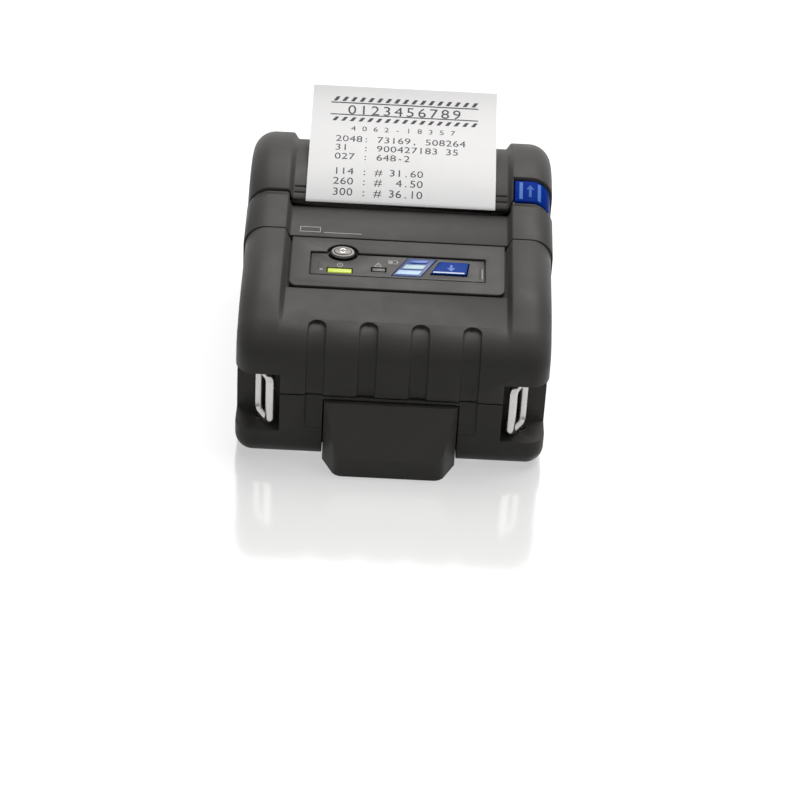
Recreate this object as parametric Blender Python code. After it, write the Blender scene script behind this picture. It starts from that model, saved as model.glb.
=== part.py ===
"""Mobile receipt printer: belt-worn housing, clamshell roll cover, thermal mechanism.

X runs to the right, Y away from the front, Z up. The origin is on the underside.
The outer shells share one body outline, drawn in the YZ plane and carried across X.
"""
from math import acos, asin, atan2, ceil, cos, hypot, pi, radians, sin, sqrt

import bmesh
import bpy
from mathutils import Vector

# Paper and roll
paper_width = 0.0555
paper_thickness = 0.0002
roll_radius = 0.0185
core_radius = 0.0062
bucket_radius = 0.022
bucket_y = 0.0215
bucket_z = 0.028

# Housing
path_margin = 0.00125
channel_margin = 0.0022
shoulder_width = 0.0131
cover_step = 0.0005
band_step = 0.0006
front_y = -0.052
slot_y = 0.003
slot_z = 0.05275
top_slope = radians(12)
roll_arc_y = 0.0205
roll_arc_z = 0.030
base_fillet = 0.0054
front_fillet = 0.0095
wall = 0.002
top_corner = 0.0066
base_corner = 0.0052
corner_low_z = 0.018
corner_high_z = 0.040
clearance = 0.0003
overrun = 0.004

# Raised shoulders on both sides of the centre channel
shoulder_ramp = 0.0018
shoulder_height = 0.0031
shoulder_front_y = -0.050
shoulder_full_y = -0.033
shoulder_back_low_z = 0.032
shoulder_back_high_z = 0.044
band_level = 0.0006
cover_level = 0.0012

# Battery cells, and the pack and the case's seam above them
cell_radius = 0.0087
cell_length = 0.047
pack_side = 0.0016
pack_roof = 0.0031
split_height = 0.0015

# Seams
rim_z = 0.0303
band_length = 0.0155
cover_front_y = 0.0033
band_rear_y = 0.0026

# Print line
platen_y = 0.0063
platen_z = 0.0445
platen_radius = 0.0044
platen_shaft_radius = 0.0015

# Cover hinge
hinge_z = 0.0303

pack_half = 2 * cell_radius + pack_side
pack_height = 2 * cell_radius + pack_roof
case_split_z = pack_height + split_height
roll_arc_radius = hypot(slot_y - roll_arc_y, slot_z - roll_arc_z)
rear_y = roll_arc_y + roll_arc_radius
hinge_y = rear_y
seam_front_y = slot_y - band_length * cos(top_slope)
paper_half = paper_width / 2
path_half = paper_half + path_margin
channel_half = path_half + channel_margin
case_half_width = channel_half + shoulder_width
cover_half_width = case_half_width + cover_step
band_half_width = case_half_width + band_step

# Across the print line, outwards from the paper path: platen, cheek, hook, side plate, gears and tail
platen_margin = 0.0002
cheek_setback = 0.0002
cheek_thickness = 0.0018
hook_thickness = 0.0012
side_gap = 0.0004
bush_setback = 0.0002
frame_plate = 0.0012
tail_thickness = 0.0012
stem_setback = 0.0002
stem_width = 0.0038

platen_half = path_half - platen_margin
bush_inner_x = platen_half + clearance
cheek_inner_x = bush_inner_x + cheek_setback
cheek_outer_x = cheek_inner_x + cheek_thickness
hook_inner_x = cheek_outer_x + clearance
hook_outer_x = hook_inner_x + hook_thickness
frame_plate_inner_x = hook_outer_x + side_gap
bush_outer_x = frame_plate_inner_x - bush_setback
gear_inner_x = frame_plate_inner_x + frame_plate + side_gap
tail_inner_x = frame_plate_inner_x + frame_plate + clearance
tail_outer_x = tail_inner_x + tail_thickness
lever_inner_x = channel_half + shoulder_ramp + clearance
lever_stem_inner_x = tail_inner_x + stem_setback
lever_stem_outer_x = lever_stem_inner_x + stem_width


def clear_scene():
    for old in list(bpy.data.objects):
        bpy.data.objects.remove(old, do_unlink=True)


def material(name, colour, roughness, metallic=0.0):
    made = bpy.data.materials.new(name)
    made.use_nodes = True
    shader = made.node_tree.nodes["Principled BSDF"]
    shader.inputs["Base Color"].default_value = (*colour, 1.0)
    shader.inputs["Roughness"].default_value = roughness
    shader.inputs["Metallic"].default_value = metallic
    return made


def add_object(name, vertices, faces, finish=None):
    mesh = bpy.data.meshes.new(name)
    bm = bmesh.new()
    corners = [bm.verts.new(v) for v in vertices]
    for face in faces:
        bm.faces.new([corners[i] for i in face])
    bmesh.ops.recalc_face_normals(bm, faces=bm.faces)
    bm.to_mesh(mesh)
    bm.free()
    made = bpy.data.objects.new(name, mesh)
    bpy.context.scene.collection.objects.link(made)
    if finish:
        mesh.materials.append(material(name, *finish))
    return made


def boolean(target, tools, operation="DIFFERENCE"):
    """Applies each tool to the target with an exact Boolean and removes the tool."""
    for tool in tools:
        modifier = target.modifiers.new("cut", "BOOLEAN")
        modifier.operation = operation
        modifier.solver = "EXACT"
        modifier.object = tool
        graph = bpy.context.evaluated_depsgraph_get()
        result = bpy.data.meshes.new_from_object(target.evaluated_get(graph))
        target.modifiers.clear()
        old = target.data
        target.data = result
        bpy.data.meshes.remove(old)
        bpy.data.objects.remove(tool, do_unlink=True)
    return target


def bevel(target, width, segments=2, angle=radians(40)):
    bm = bmesh.new()
    bm.from_mesh(target.data)
    edges = [e for e in bm.edges if e.is_manifold and e.calc_face_angle(0) > angle]
    bmesh.ops.bevel(bm, geom=edges, offset=width, segments=segments, affect="EDGES", profile=0.5,
                    clamp_overlap=True)
    bm.to_mesh(target.data)
    bm.free()
    return target


def shade(target, angle=radians(35)):
    target.data.shade_smooth()
    target.data.set_sharp_from_angle(angle=angle)
    return target


def prism(name, outline, place, low, high, finish=None):
    """Closed outline of pairs, carried between two heights; place turns (a, b, height) into a point."""
    count = len(outline)
    vertices = [place(a, b, low) for a, b in outline] + [place(a, b, high) for a, b in outline]
    sides = [(i, (i + 1) % count, (i + 1) % count + count, i + count) for i in range(count)]
    caps = [tuple(range(count)), tuple(range(count, 2 * count))]
    return add_object(name, vertices, sides + caps, finish)


def along_x(a, b, height):
    return (height, a, b)


def along_y(a, b, height):
    return (a, height, b)


def along_z(a, b, height):
    return (a, b, height)


def on_panel(x, down, out):
    """Panel frame: x, distance down the slope from the slot, and height out of the surface."""
    return (x, slot_y - down * cos(top_slope) - out * sin(top_slope),
            slot_z - down * sin(top_slope) + out * cos(top_slope))


def box(name, x, y, z, finish=None):
    outline = [(x[0], y[0]), (x[1], y[0]), (x[1], y[1]), (x[0], y[1])]
    return prism(name, outline, along_z, z[0], z[1], finish)


def circle(a, b, radius, count, start=0.0):
    return [(a + radius * cos(start + 2 * pi * i / count), b + radius * sin(start + 2 * pi * i / count))
            for i in range(count)]


def oval(a, b, half_a, half_b, count):
    return [(a + half_a * cos(2 * pi * i / count), b + half_b * sin(2 * pi * i / count))
            for i in range(count)]


def arc(a, b, radius, start, end, count):
    return [(a + radius * cos(start + (end - start) * i / count),
             b + radius * sin(start + (end - start) * i / count)) for i in range(count + 1)]


def smooth(share):
    share = min(max(share, 0.0), 1.0)
    return share * share * (3 - 2 * share)


# The body outline

def body_outline():
    """Stations of the closed outline as (y, z, normal y, normal z), clockwise seen from +X."""
    fillet_z = slot_z + (-front_fillet + (front_y + front_fillet - slot_y) * sin(top_slope)) / cos(top_slope)
    start = atan2(slot_z - roll_arc_z, slot_y - roll_arc_y)
    points = arc(front_y + base_fillet, base_fillet, base_fillet, -pi / 2, -pi, 4)
    points += [(front_y, base_fillet + (fillet_z - base_fillet) * share) for share in (0.3, 0.65)]
    points += arc(front_y + front_fillet, fillet_z, front_fillet, pi, pi / 2 + top_slope, 7)
    top_y, top_z = points[-1]
    points += [(top_y + (slot_y - top_y) * share, top_z + (slot_z - top_z) * share)
               for share in (0.15, 0.3, 0.5, 0.75)]
    points += arc(roll_arc_y, roll_arc_z, roll_arc_radius, start, 0, 14)
    points += [(rear_y, roll_arc_z + (base_fillet - roll_arc_z) * share) for share in (0.4,)]
    points += arc(rear_y - base_fillet, base_fillet, base_fillet, 0, -pi / 2, 4)
    stations = []
    for index, (y, z) in enumerate(points):
        before = points[index - 1]
        after = points[(index + 1) % len(points)]
        into = Vector((y - before[0], z - before[1])).normalized()
        out_of = Vector((after[0] - y, after[1] - z)).normalized()
        run = (into + out_of).normalized()
        stations.append((y, z, -run.y, run.x))
    return stations


def shoulder_rise(y, z):
    """Share of the full shoulder height at a station: none low on the front and on the back."""
    if z < case_split_z:
        return 0.0
    front = smooth((y - shoulder_front_y) / (shoulder_full_y - shoulder_front_y))
    back = smooth((z - shoulder_back_low_z) / (shoulder_back_high_z - shoulder_back_low_z))
    return min(front, back) if y > roll_arc_y else front


def corner_radius(z):
    share = smooth((z - corner_low_z) / (corner_high_z - corner_low_z))
    return base_corner + (top_corner - base_corner) * share


ramp_shares = (0.0, 0.3, 0.7, 1.0)
corner_steps = 5


def body_solid(name, half_width, level, inset=0.0, finish=None):
    """Full body with its centre channel at the given level, drawn in by the inset all round."""
    rows = []
    for y, z, normal_y, normal_z in body_outline():
        rise = shoulder_rise(y, z)
        centre = level if z > rim_z - wall and y > shoulder_front_y and rise > 0 else 0.0
        centre *= rise
        top = centre + (shoulder_height - centre) * rise
        radius = corner_radius(z) - inset
        profile = [(0.0, centre)]
        profile += [(channel_half + shoulder_ramp * share, centre + (top - centre) * smooth(share))
                    for share in ramp_shares]
        for step in range(corner_steps + 1):
            angle = pi / 2 * step / corner_steps
            across = half_width - inset - radius + radius * sin(angle)
            profile.append((across, top - radius * (1 - cos(angle))))
        left = [(-x, out) for x, out in reversed(profile[1:])]
        rows.append([(x, y + normal_y * (out - inset), z + normal_z * (out - inset))
                     for x, out in left + profile])
    count, width = len(rows), len(rows[0])
    vertices = [v for row in rows for v in row]
    faces = []
    for i in range(count):
        j = (i + 1) % count
        faces += [(i * width + k, i * width + k + 1, j * width + k + 1, j * width + k)
                  for k in range(width - 1)]
    faces.append(tuple(i * width for i in range(count)))
    faces.append(tuple(i * width + width - 1 for i in range(count)))
    return add_object(name, vertices, faces, finish)


def block_yz(name, outline, half=None):
    """Cutter or block across the whole width, from an outline in Y and Z."""
    reach = half if half else band_half_width + overrun
    return prism(name, outline, along_x, -reach, reach)


def rectangle(y0, y1, z0, z1):
    return [(y0, z0), (y1, z0), (y1, z1), (y0, z1)]


far_y = -front_y + overrun * 6
far_z = slot_z + overrun * 6

charcoal = ((0.045, 0.044, 0.043), 0.62)
dark_plastic = ((0.03, 0.03, 0.031), 0.5)
steel = ((0.62, 0.61, 0.6), 0.28, 1.0)
brass = ((0.62, 0.47, 0.2), 0.35, 1.0)
white_plastic = ((0.8, 0.8, 0.78), 0.45)
board_green = ((0.02, 0.16, 0.07), 0.5)
rubber = ((0.02, 0.02, 0.021), 0.85)
blue_gloss = ((0.012, 0.06, 0.5), 0.22)
paper_white = ((0.88, 0.88, 0.9), 0.8)

# Battery pack and its bay
pack_rear_y = -0.0036
nose_taper = 0.0026
nose_corner = 0.0034
nose_skin = 0.0073
nose_slope_setback = 0.0007
nose_top_z = 0.0060
bay_wall = 0.002
rail_depth = 0.0007
rail_low_z = 0.0105
rail_height = 0.0012
rail_end_gap = 0.006
cell_rear_gap = 0.0019
cell_cap = 0.0012
cell_cap_radius = 0.0028
pack_skin = 0.0011
pack_lid = 0.0015

bay_half = pack_half + clearance
nose_half = pack_half - nose_taper
cell_front_y = pack_rear_y - cell_rear_gap - cell_length
pack_front_y = cell_front_y - nose_skin
nose_slope_y = cell_front_y - nose_slope_setback
nose_length = front_y - pack_front_y

# Strap rings, in recesses at the two front corners
ring_rod = 0.0014
ring_pivot_inset = 0.0068
ring_pivot_y = -0.0442
ring_free_inset = 0.0101
ring_free_y = -0.0500
ring_low_z = 0.0099
ring_high_z = 0.0274
ring_bend = 0.0021
ring_pin_radius = 0.0011
ring_pin_length = 0.0020
recess_width = 0.0128
recess_rear_y = -0.0405
recess_low_z = 0.0093
recess_high_z = 0.0283

ring_pivot_x = case_half_width - ring_pivot_inset
ring_free_x = case_half_width - ring_free_inset
recess_inner_x = case_half_width - recess_width

# Case screws
screw_bay_gap = 0.0052
screw_front_y = -0.0460
screw_rear_inset = 0.0068
screw_rear_y = 0.0360
screw_head_radius = 0.0024
screw_head_height = 0.0016
screw_head_z = 0.0010
screw_shaft_radius = 0.0011
screw_top_z = 0.0275
boss_half = 0.0030
boss_top_z = 0.0295

# Interface flap, jack and port on the left side
flap_front_y = -0.0340
flap_rear_y = -0.0140
flap_low_z = 0.0106
flap_high_z = 0.0204
flap_thickness = 0.0022
flap_pin_radius = 0.0005
pocket_recess = 0.0083
pocket_wall = 0.0020
jack_y = -0.0285
port_y = -0.0205
socket_z = 0.0156
jack_radius = 0.0032
jack_bore = 0.0021
jack_pin_radius = 0.0007
port_half_length = 0.0042
port_half_height = 0.0022
port_skin = 0.0008
socket_proud = 0.0010
socket_length = 0.0070

pocket_floor_x = case_half_width - pocket_recess
screw_front_x = bay_half + screw_bay_gap
screw_rear_x = case_half_width - screw_rear_inset
screw_places = [(sx * x, y) for x, y in ((screw_front_x, screw_front_y), (screw_rear_x, screw_rear_y))
                for sx in (-1, 1)]

# Frame posts and the main board
post_overlap = 0.0018
post_width = 0.0050
post_front_y = -0.0135
post_rear_y = -0.0060
board_inset = 0.0073
board_front_y = -0.0375
board_rear_y = -0.0185
board_low_z = case_split_z + clearance / 2
board_thickness = 0.0014
board_post_half = 0.0020
board_post_inset = 0.0030
board_post_front_y = -0.0350
board_post_rear_y = -0.0215

post_inner_x = frame_plate_inner_x - post_overlap
post_outer_x = post_inner_x + post_width
board_half = case_half_width - board_inset
board_post_x = board_half - board_post_inset

# Flutes on the front
flute_half = 0.0026
flute_pitch = 0.0145
flute_depth = 0.0007
flute_end_z = 0.0110
flute_places = [flute_pitch * share for share in (-1.5, -0.5, 0.5, 1.5)]


def front_path(step):
    """Points down the front from the top of the front fillet, as (y, z, normal y, normal z, run)."""
    fillet_z = slot_z + (-front_fillet + (front_y + front_fillet - slot_y) * sin(top_slope)) / cos(top_slope)
    centre_y = front_y + front_fillet
    sweep = pi / 2 - top_slope
    points = []
    count = ceil(front_fillet * sweep / step)
    for index in range(count + 1):
        angle = pi / 2 + top_slope + sweep * index / count
        points.append((centre_y + front_fillet * cos(angle), fillet_z + front_fillet * sin(angle),
                       cos(angle), sin(angle), front_fillet * sweep * index / count))
    run = points[-1][4]
    points.append((front_y, flute_end_z, -1.0, 0.0, run + fillet_z - flute_end_z))
    return points


def flute_cutter(name, x):
    """Cutter of even depth with a round upper end, which follows the front fillet."""
    step = flute_half / 4
    outline = []
    for y, z, normal_y, normal_z, run in front_path(step):
        if run < flute_half:
            half = sqrt(max(flute_half ** 2 - (flute_half - run) ** 2, (step / 2) ** 2))
        else:
            half = flute_half
        outline.append((y, z, normal_y, normal_z, half))
    vertices = []
    for y, z, normal_y, normal_z, half in outline:
        for side, out in ((-1, -flute_depth), (1, -flute_depth), (1, overrun / 2), (-1, overrun / 2)):
            vertices.append((x + side * half, y + normal_y * out, z + normal_z * out))
    faces = [(0, 1, 2, 3)]
    last = len(outline) - 1
    for i in range(last):
        a = i * 4
        faces += [(a + k, a + (k + 1) % 4, a + 4 + (k + 1) % 4, a + 4 + k) for k in range(4)]
    faces.append(tuple(last * 4 + k for k in range(4)))
    return add_object(name, vertices, faces)


def recess_cutter(side):
    x = (recess_inner_x, case_half_width + overrun)
    return box("recess", tuple(sorted((side * x[0], side * x[1]))), (front_y - overrun, recess_rear_y),
               (recess_low_z, recess_high_z))


def corner_block(side):
    x = (recess_inner_x - wall, case_half_width - wall / 2)
    return box("corner", tuple(sorted((side * x[0], side * x[1]))),
               (front_y + wall / 2, recess_rear_y + wall), (recess_low_z - wall, recess_high_z + wall))


def ring_hole(side):
    outline = circle(side * ring_pivot_x, ring_pivot_y, ring_pin_radius + clearance, 10)
    return prism("ring_hole", outline, along_z, ring_low_z - ring_pin_length - clearance,
                 ring_high_z + ring_pin_length + clearance)


def make_lower_case():
    case = body_solid("lower_case", case_half_width, band_level, finish=charcoal)
    cavity = body_solid("cavity", case_half_width, band_level, inset=wall)
    top = case_split_z - clearance / 2
    solids = [corner_block(-1), corner_block(1)]
    solids.append(box("bay_block", (-bay_half - bay_wall, bay_half + bay_wall),
                      (front_y, pack_rear_y + bay_wall), (0, top)))
    for x, y in screw_places:
        solids.append(box("boss", (x - boss_half, x + boss_half), (y - boss_half, y + boss_half), (0, top)))
    for side in (-1, 1):
        x = tuple(sorted((side * post_inner_x, side * post_outer_x)))
        solids.append(box("post", x, (post_front_y, post_rear_y), (0, top)))
        for y in (board_post_front_y, board_post_rear_y):
            x = (side * board_post_x - board_post_half, side * board_post_x + board_post_half)
            solids.append(box("board_post", x, (y - board_post_half, y + board_post_half), (0, top)))
    solids.append(box("pocket_block", (-case_half_width + wall / 2, -pocket_floor_x + pocket_wall),
                      (flap_front_y - pocket_wall, flap_rear_y + pocket_wall),
                      (flap_low_z - pocket_wall, top)))
    boolean(cavity, solids)
    reach = band_half_width + overrun
    above = box("above", (-reach, reach), (front_y - overrun, far_y), (top, far_z))
    boolean(case, [above, cavity])
    cutters = [recess_cutter(-1), recess_cutter(1), ring_hole(-1), ring_hole(1)]
    cutters.append(box("bay", (-bay_half, bay_half), (front_y - overrun, pack_rear_y + clearance),
                       (-overrun, pack_height + clearance)))
    for x, y in screw_places:
        cutters.append(prism("counterbore", circle(x, y, screw_head_radius + clearance, 12), along_z,
                             -overrun, screw_head_z + screw_head_height + clearance))
        cutters.append(prism("screw_hole", circle(x, y, screw_shaft_radius + clearance, 12), along_z, 0,
                             case_split_z + overrun))
    pocket_low = flap_low_z - clearance
    pocket_high = flap_high_z + clearance
    cutters.append(box("pocket", (-case_half_width - overrun, -pocket_floor_x),
                       (flap_front_y - clearance, flap_rear_y + clearance), (pocket_low, pocket_high)))
    cutters.append(prism("jack_seat", circle(jack_y, socket_z, jack_radius + clearance, 14), along_x,
                         -pocket_floor_x - overrun, -pocket_floor_x + pocket_wall + overrun))
    cutters.append(prism("port_seat", rectangle(port_y - port_half_length - clearance,
                                                port_y + port_half_length + clearance,
                                                socket_z - port_half_height - clearance,
                                                socket_z + port_half_height + clearance),
                         along_x, -pocket_floor_x - overrun, -pocket_floor_x + pocket_wall + overrun))
    cutters.append(prism("flap_pin_hole", circle(-flap_axis_x, flap_axis_z, flap_pin_radius + clearance, 8),
                         along_y, flap_front_y - pocket_wall, flap_rear_y + pocket_wall))
    cutters += [flute_cutter("flute", x) for x in (flute_places[0], flute_places[-1])]
    boolean(case, cutters)
    rail_top = rail_low_z + rail_height
    rails = []
    for side in (-1, 1):
        x = tuple(sorted((side * (bay_half - rail_depth), side * (bay_half + bay_wall / 2))))
        rails.append(box("rail", x, (front_y + rail_end_gap, pack_rear_y - rail_end_gap),
                         (rail_low_z, rail_top)))
    boolean(case, rails, "UNION")
    return shade(case)


flap_axis_x = case_half_width - flap_thickness / 2
flap_axis_z = flap_low_z + flap_thickness / 2

# Control panel, measured down the slope from the slot
plate_side_gap = 0.0005
plate_low = -0.0005
plate_high = band_level
plate_end = 0.0357
plate_corner = 0.0022
plate_bevel = 0.0004
pocket_depth = 0.0008
inlay_border = 0.0056
inlay_start = 0.0213
inlay_end = 0.0308
inlay_high_start = -0.0001
inlay_high_end = 0.0004
power_x = -0.0159
power_down = 0.0213
power_half_x = 0.0037
power_half_down = 0.0026
power_rim_x = 0.0008
power_rim_down = 0.0006
button_proud = 0.0012
button_body_low = -0.0016
button_skin_gap = 0.0003
flange_width = 0.0006
flange_thickness = 0.0006
stem_radius = 0.0012
stem_low = -0.0032
slant_share = 0.60
feed_x = 0.0155
feed_down = 0.0258
feed_top_half = 0.0041
feed_half_down = 0.0025
feed_skew = 0.0033
feed_high = 0.0008
lamp_high = 0.0003
lamp_low = -0.0048
power_lamp_x = -0.0165
power_lamp_down = 0.0285
power_lamp_half_x = 0.0034
power_lamp_half_down = 0.0008
error_lamp_x = -0.0054
error_lamp_down = 0.0274
error_lamp_half_x = 0.0019
error_lamp_half_down = 0.0007
gauge_x = 0.0047
gauge_down = 0.0259
gauge_half_x = 0.0040
gauge_half_down = 0.0036
gauge_high = 0.0004
gauge_bar_proud = 0.0003
panel_board_side_gap = 0.0032
panel_board_start = 0.0170
panel_board_end = 0.0335
panel_board_low = -0.0066
panel_board_high = -0.0054
panel_post_half = 0.0016
panel_post_inset = 0.0020
panel_post_start = 0.0190
panel_post_end = 0.0315
switch_half = 0.0023
switch_height = 0.0007
switch_cap_radius = 0.0010
switch_cap_height = 0.0003

plate_half = channel_half - plate_side_gap
inlay_half = plate_half - inlay_border
panel_board_half = plate_half - panel_board_side_gap
panel_post_x = panel_board_half - panel_post_inset

# Each bar's centre and half sizes, as shares of the gauge's own half sizes
gauge_bar_shares = ((-0.375, 0.667, 0.825, 0.222), (0.0, 0.0, 0.725, 0.222), (0.375, -0.64, 0.60, 0.153))


def slanted(x, down, half_x, half_down):
    """Parallelogram in the panel frame that leans like the gauge bars."""
    lean = half_down * slant_share
    return [(x - half_x - lean, down + half_down), (x + half_x - lean, down + half_down),
            (x + half_x + lean, down - half_down), (x - half_x + lean, down - half_down)]


def straight(x, down, half_x, half_down):
    return [(x - half_x, down + half_down), (x + half_x, down + half_down),
            (x + half_x, down - half_down), (x - half_x, down - half_down)]


def feed_outline(grow=0.0):
    """Feed button: its right side is near upright and its left side leans."""
    top = feed_down - feed_half_down - grow
    bottom = feed_down + feed_half_down + grow
    return [(feed_x - feed_top_half - feed_skew + (feed_top_half / 3) - grow, bottom),
            (feed_x + feed_top_half + grow, bottom),
            (feed_x + feed_top_half + feed_top_half / 6 + grow, top),
            (feed_x - feed_top_half + feed_top_half / 6 - grow, top)]


def power_outline(grow_x, grow_down):
    return oval(power_x, power_down, power_half_x + grow_x, power_half_down + grow_down, 28)


def panel_holes(low, high):
    """Cutters for the lamps and buttons, through whatever lies between two heights."""
    gap = clearance
    shapes = [straight(power_lamp_x, power_lamp_down, power_lamp_half_x + gap, power_lamp_half_down + gap),
              straight(error_lamp_x, error_lamp_down, error_lamp_half_x + gap, error_lamp_half_down + gap),
              slanted(gauge_x, gauge_down, gauge_half_x + gap, gauge_half_down + gap),
              feed_outline(clearance)]
    return [prism("panel_hole", shape, on_panel, low, high) for shape in shapes]


def make_front_case():
    case = body_solid("front_case", case_half_width, 0.0, finish=charcoal)
    cavity = body_solid("cavity", case_half_width, 0.0, inset=wall)
    bottom = case_split_z + clearance / 2
    solids = [corner_block(-1), corner_block(1)]
    for x, y in screw_places:
        grow = wall * 3 if y > 0 else 0
        front = wall * 2 if y < 0 else 0
        low_x = x - boss_half - (grow if x < 0 else 0)
        high_x = x + boss_half + (grow if x > 0 else 0)
        solids.append(box("boss", (low_x, high_x), (y - boss_half - front, y + boss_half),
                          (bottom, boss_top_z)))
    for side in (-1, 1):
        for down in (panel_post_start, panel_post_end):
            shape = straight(side * panel_post_x, down, panel_post_half, panel_post_half)
            solids.append(prism("panel_post", shape, on_panel, panel_board_high + clearance, wall))
    boolean(cavity, solids)
    reach = band_half_width + overrun
    below = box("below", (-reach, reach), (front_y - overrun, far_y), (-overrun, bottom))
    cover_region = box("rear_region", (-reach, reach), (seam_front_y, far_y), (rim_z, far_z))
    boolean(case, [below, cover_region, cavity])
    cutters = [recess_cutter(-1), recess_cutter(1), ring_hole(-1), ring_hole(1)]
    plate_seat = straight(0, (band_length + plate_end) / 2 - overrun, channel_half,
                          (plate_end - band_length) / 2 + overrun + clearance)
    cutters.append(prism("plate_seat", plate_seat, on_panel, -pocket_depth, overrun))
    cutters += panel_holes(-wall * 2, overrun)
    cutters.append(prism("power_hole", power_outline(clearance, clearance), on_panel, -wall * 2, overrun))
    for x, y in screw_places:
        cutters.append(prism("screw_hole", circle(x, y, screw_shaft_radius + clearance, 12), along_z, 0,
                             screw_top_z + clearance))
    cutters += [flute_cutter("flute", x) for x in flute_places]
    for start, end in cover_knuckles:
        cutters.append(prism("knuckle_gap", circle(hinge_y, hinge_z, knuckle_radius + clearance, 20), along_x,
                             start - clearance, end + clearance))
    boolean(case, cutters)
    knuckles = [knuckle(start, end, -1) for start, end in case_knuckles]
    boolean(case, knuckles, "UNION")
    boolean(case, [hinge_bore()])
    return shade(case)


# Hinge knuckles
knuckle_radius = 0.0023
hinge_pin_radius = 0.0010
knuckle_inner = 0.0096
knuckle_step = 0.0100
knuckle_end = 0.0180
knuckle_outer = 0.0184
knuckle_limit = 0.0232
cover_knuckles = [(-knuckle_end, -knuckle_step), (knuckle_step, knuckle_end)]
case_knuckles = [(-knuckle_limit, -knuckle_outer), (-knuckle_inner, knuckle_inner),
                 (knuckle_outer, knuckle_limit)]


def knuckle(start, end, side):
    """Barrel round the hinge axis with a web to its own wall, below (-1) or above (1) the axis."""
    web_y = hinge_y - wall / 2
    barrel = circle(hinge_y, hinge_z, knuckle_radius, 20)
    made = prism("knuckle", barrel, along_x, start, end)
    low, high = sorted((hinge_z, hinge_z + side * wall * 2))
    web = prism("web", rectangle(web_y - wall / 2, web_y + wall / 4, low, high), along_x, start, end)
    return boolean(made, [web], "UNION")


def hinge_bore():
    return prism("hinge_bore", circle(hinge_y, hinge_z, hinge_pin_radius + clearance, 12), along_x,
                 -knuckle_limit - overrun, knuckle_limit + overrun)


def make_head_cover():
    """Band between the control panel and the slot, which carries the tear bar."""
    band = body_solid("head_cover", band_half_width, band_level, finish=charcoal)
    cavity = body_solid("cavity", band_half_width, band_level, inset=wall)
    reach = band_half_width + overrun
    front = box("front", (-reach, reach), (front_y - overrun, seam_front_y + clearance), (-overrun, far_z))
    rear = box("rear", (-reach, reach), (band_rear_y, far_y), (-overrun, far_z))
    below = box("below", (-reach, reach), (front_y - overrun, far_y), (-overrun, rim_z + clearance))
    boolean(band, [front, rear, below, cavity])
    flange = box("flange", (-bar_half, bar_half), (band_centre_y - flange_depth, band_centre_y),
                 (bar_flange_low_z, slot_z - wall / 2))
    boolean(band, [flange], "UNION")
    slot = box("slot", (-slot_half, slot_half), (band_centre_y, far_y), (rim_z, far_z))
    boolean(band, [slot])
    return shade(band)


# Slot and tear bar
slot_margin = 0.0034
slot_half = path_half + slot_margin
band_centre_y = 0.0006
bar_margin = 0.0020
bar_half = path_half + bar_margin
flange_depth = 0.0012
bar_flange_low_z = 0.0488
bar_thickness = 0.0004
bar_low_z = 0.0490
tooth_pitch = 0.0011
tooth_height = 0.0009
bar_top_z = 0.0541
lip_y = 0.0027


def make_tear_bar():
    count = int(2 * bar_half / tooth_pitch)
    half = count * tooth_pitch / 2
    outline = [(-half, bar_low_z), (half, bar_low_z)]
    for index in range(count):
        right = half - index * tooth_pitch
        outline.append((right, bar_top_z - tooth_height))
        outline.append((right - tooth_pitch / 2, bar_top_z))
    outline.append((-half, bar_top_z - tooth_height))
    start = band_centre_y + clearance
    return prism("tear_bar", outline, along_y, start, start + bar_thickness, steel)


# Release lever, pressed down in its notch in the right shoulder; its stem turns the latch
lever_front_y = 0.0037
lever_rear_y = 0.0104
lever_low_z = 0.0440
lever_inset = 0.0007
lever_skin = 0.0018
lever_gap = 0.0004
lever_travel = 0.0015
lever_stem_front_y = 0.0026
lever_stem_toe_y = 0.0039
lever_stem_rear_y = 0.0062
lever_stem_low_z = 0.0438
lever_stem_cam_z = 0.0462
lever_stem_knee_z = 0.0480
lever_stem_toe_z = 0.0552
lever_stem_heel_z = 0.0566


def make_cover_shell():
    cover = body_solid("cover_shell", cover_half_width, cover_level, finish=charcoal)
    cavity = body_solid("cavity", cover_half_width, cover_level, inset=wall)
    reach = band_half_width + overrun
    front = box("front", (-reach, reach), (front_y - overrun, lip_y), (-overrun, far_z))
    below = box("below", (-reach, reach), (front_y - overrun, far_y), (-overrun, rim_z + clearance))
    lip_half = slot_half - clearance
    sides = [box("side", tuple(sorted((side * lip_half, side * reach))), (front_y, cover_front_y),
                 (-overrun, far_z)) for side in (-1, 1)]
    notch = box("notch", (lever_inner_x - lever_gap, reach), (front_y, lever_rear_y + lever_gap),
                (lever_low_z - lever_travel - clearance, far_z))
    boolean(cover, [front, below, cavity, notch] + sides)
    gaps = [prism("knuckle_gap", circle(hinge_y, hinge_z, knuckle_radius + clearance, 20), along_x,
                  start - clearance, end + clearance) for start, end in case_knuckles]
    boolean(cover, gaps)
    boolean(cover, [knuckle(start, end, 1) for start, end in cover_knuckles], "UNION")
    boolean(cover, [hinge_bore()])
    return shade(cover)


def make_lever():
    outer = body_solid("release_lever", cover_half_width, cover_level, inset=lever_inset, finish=blue_gloss)
    inner = body_solid("inner", cover_half_width, cover_level, inset=lever_inset + lever_skin)
    keep = box("keep", (lever_inner_x, band_half_width + overrun), (lever_front_y, lever_rear_y),
               (lever_low_z, far_z))
    boolean(outer, [keep], "INTERSECT")
    boolean(outer, [inner])
    stem = [(lever_stem_toe_y, lever_stem_low_z), (lever_stem_rear_y, lever_stem_low_z),
            (lever_stem_rear_y, lever_stem_heel_z), (lever_stem_toe_y, lever_stem_toe_z),
            (lever_stem_front_y, lever_stem_knee_z), (lever_stem_front_y, lever_stem_cam_z)]
    boolean(outer, [prism("stem", stem, along_x, lever_stem_inner_x, lever_stem_outer_x)], "UNION")
    return shade(outer)


# Control panel pieces

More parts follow.
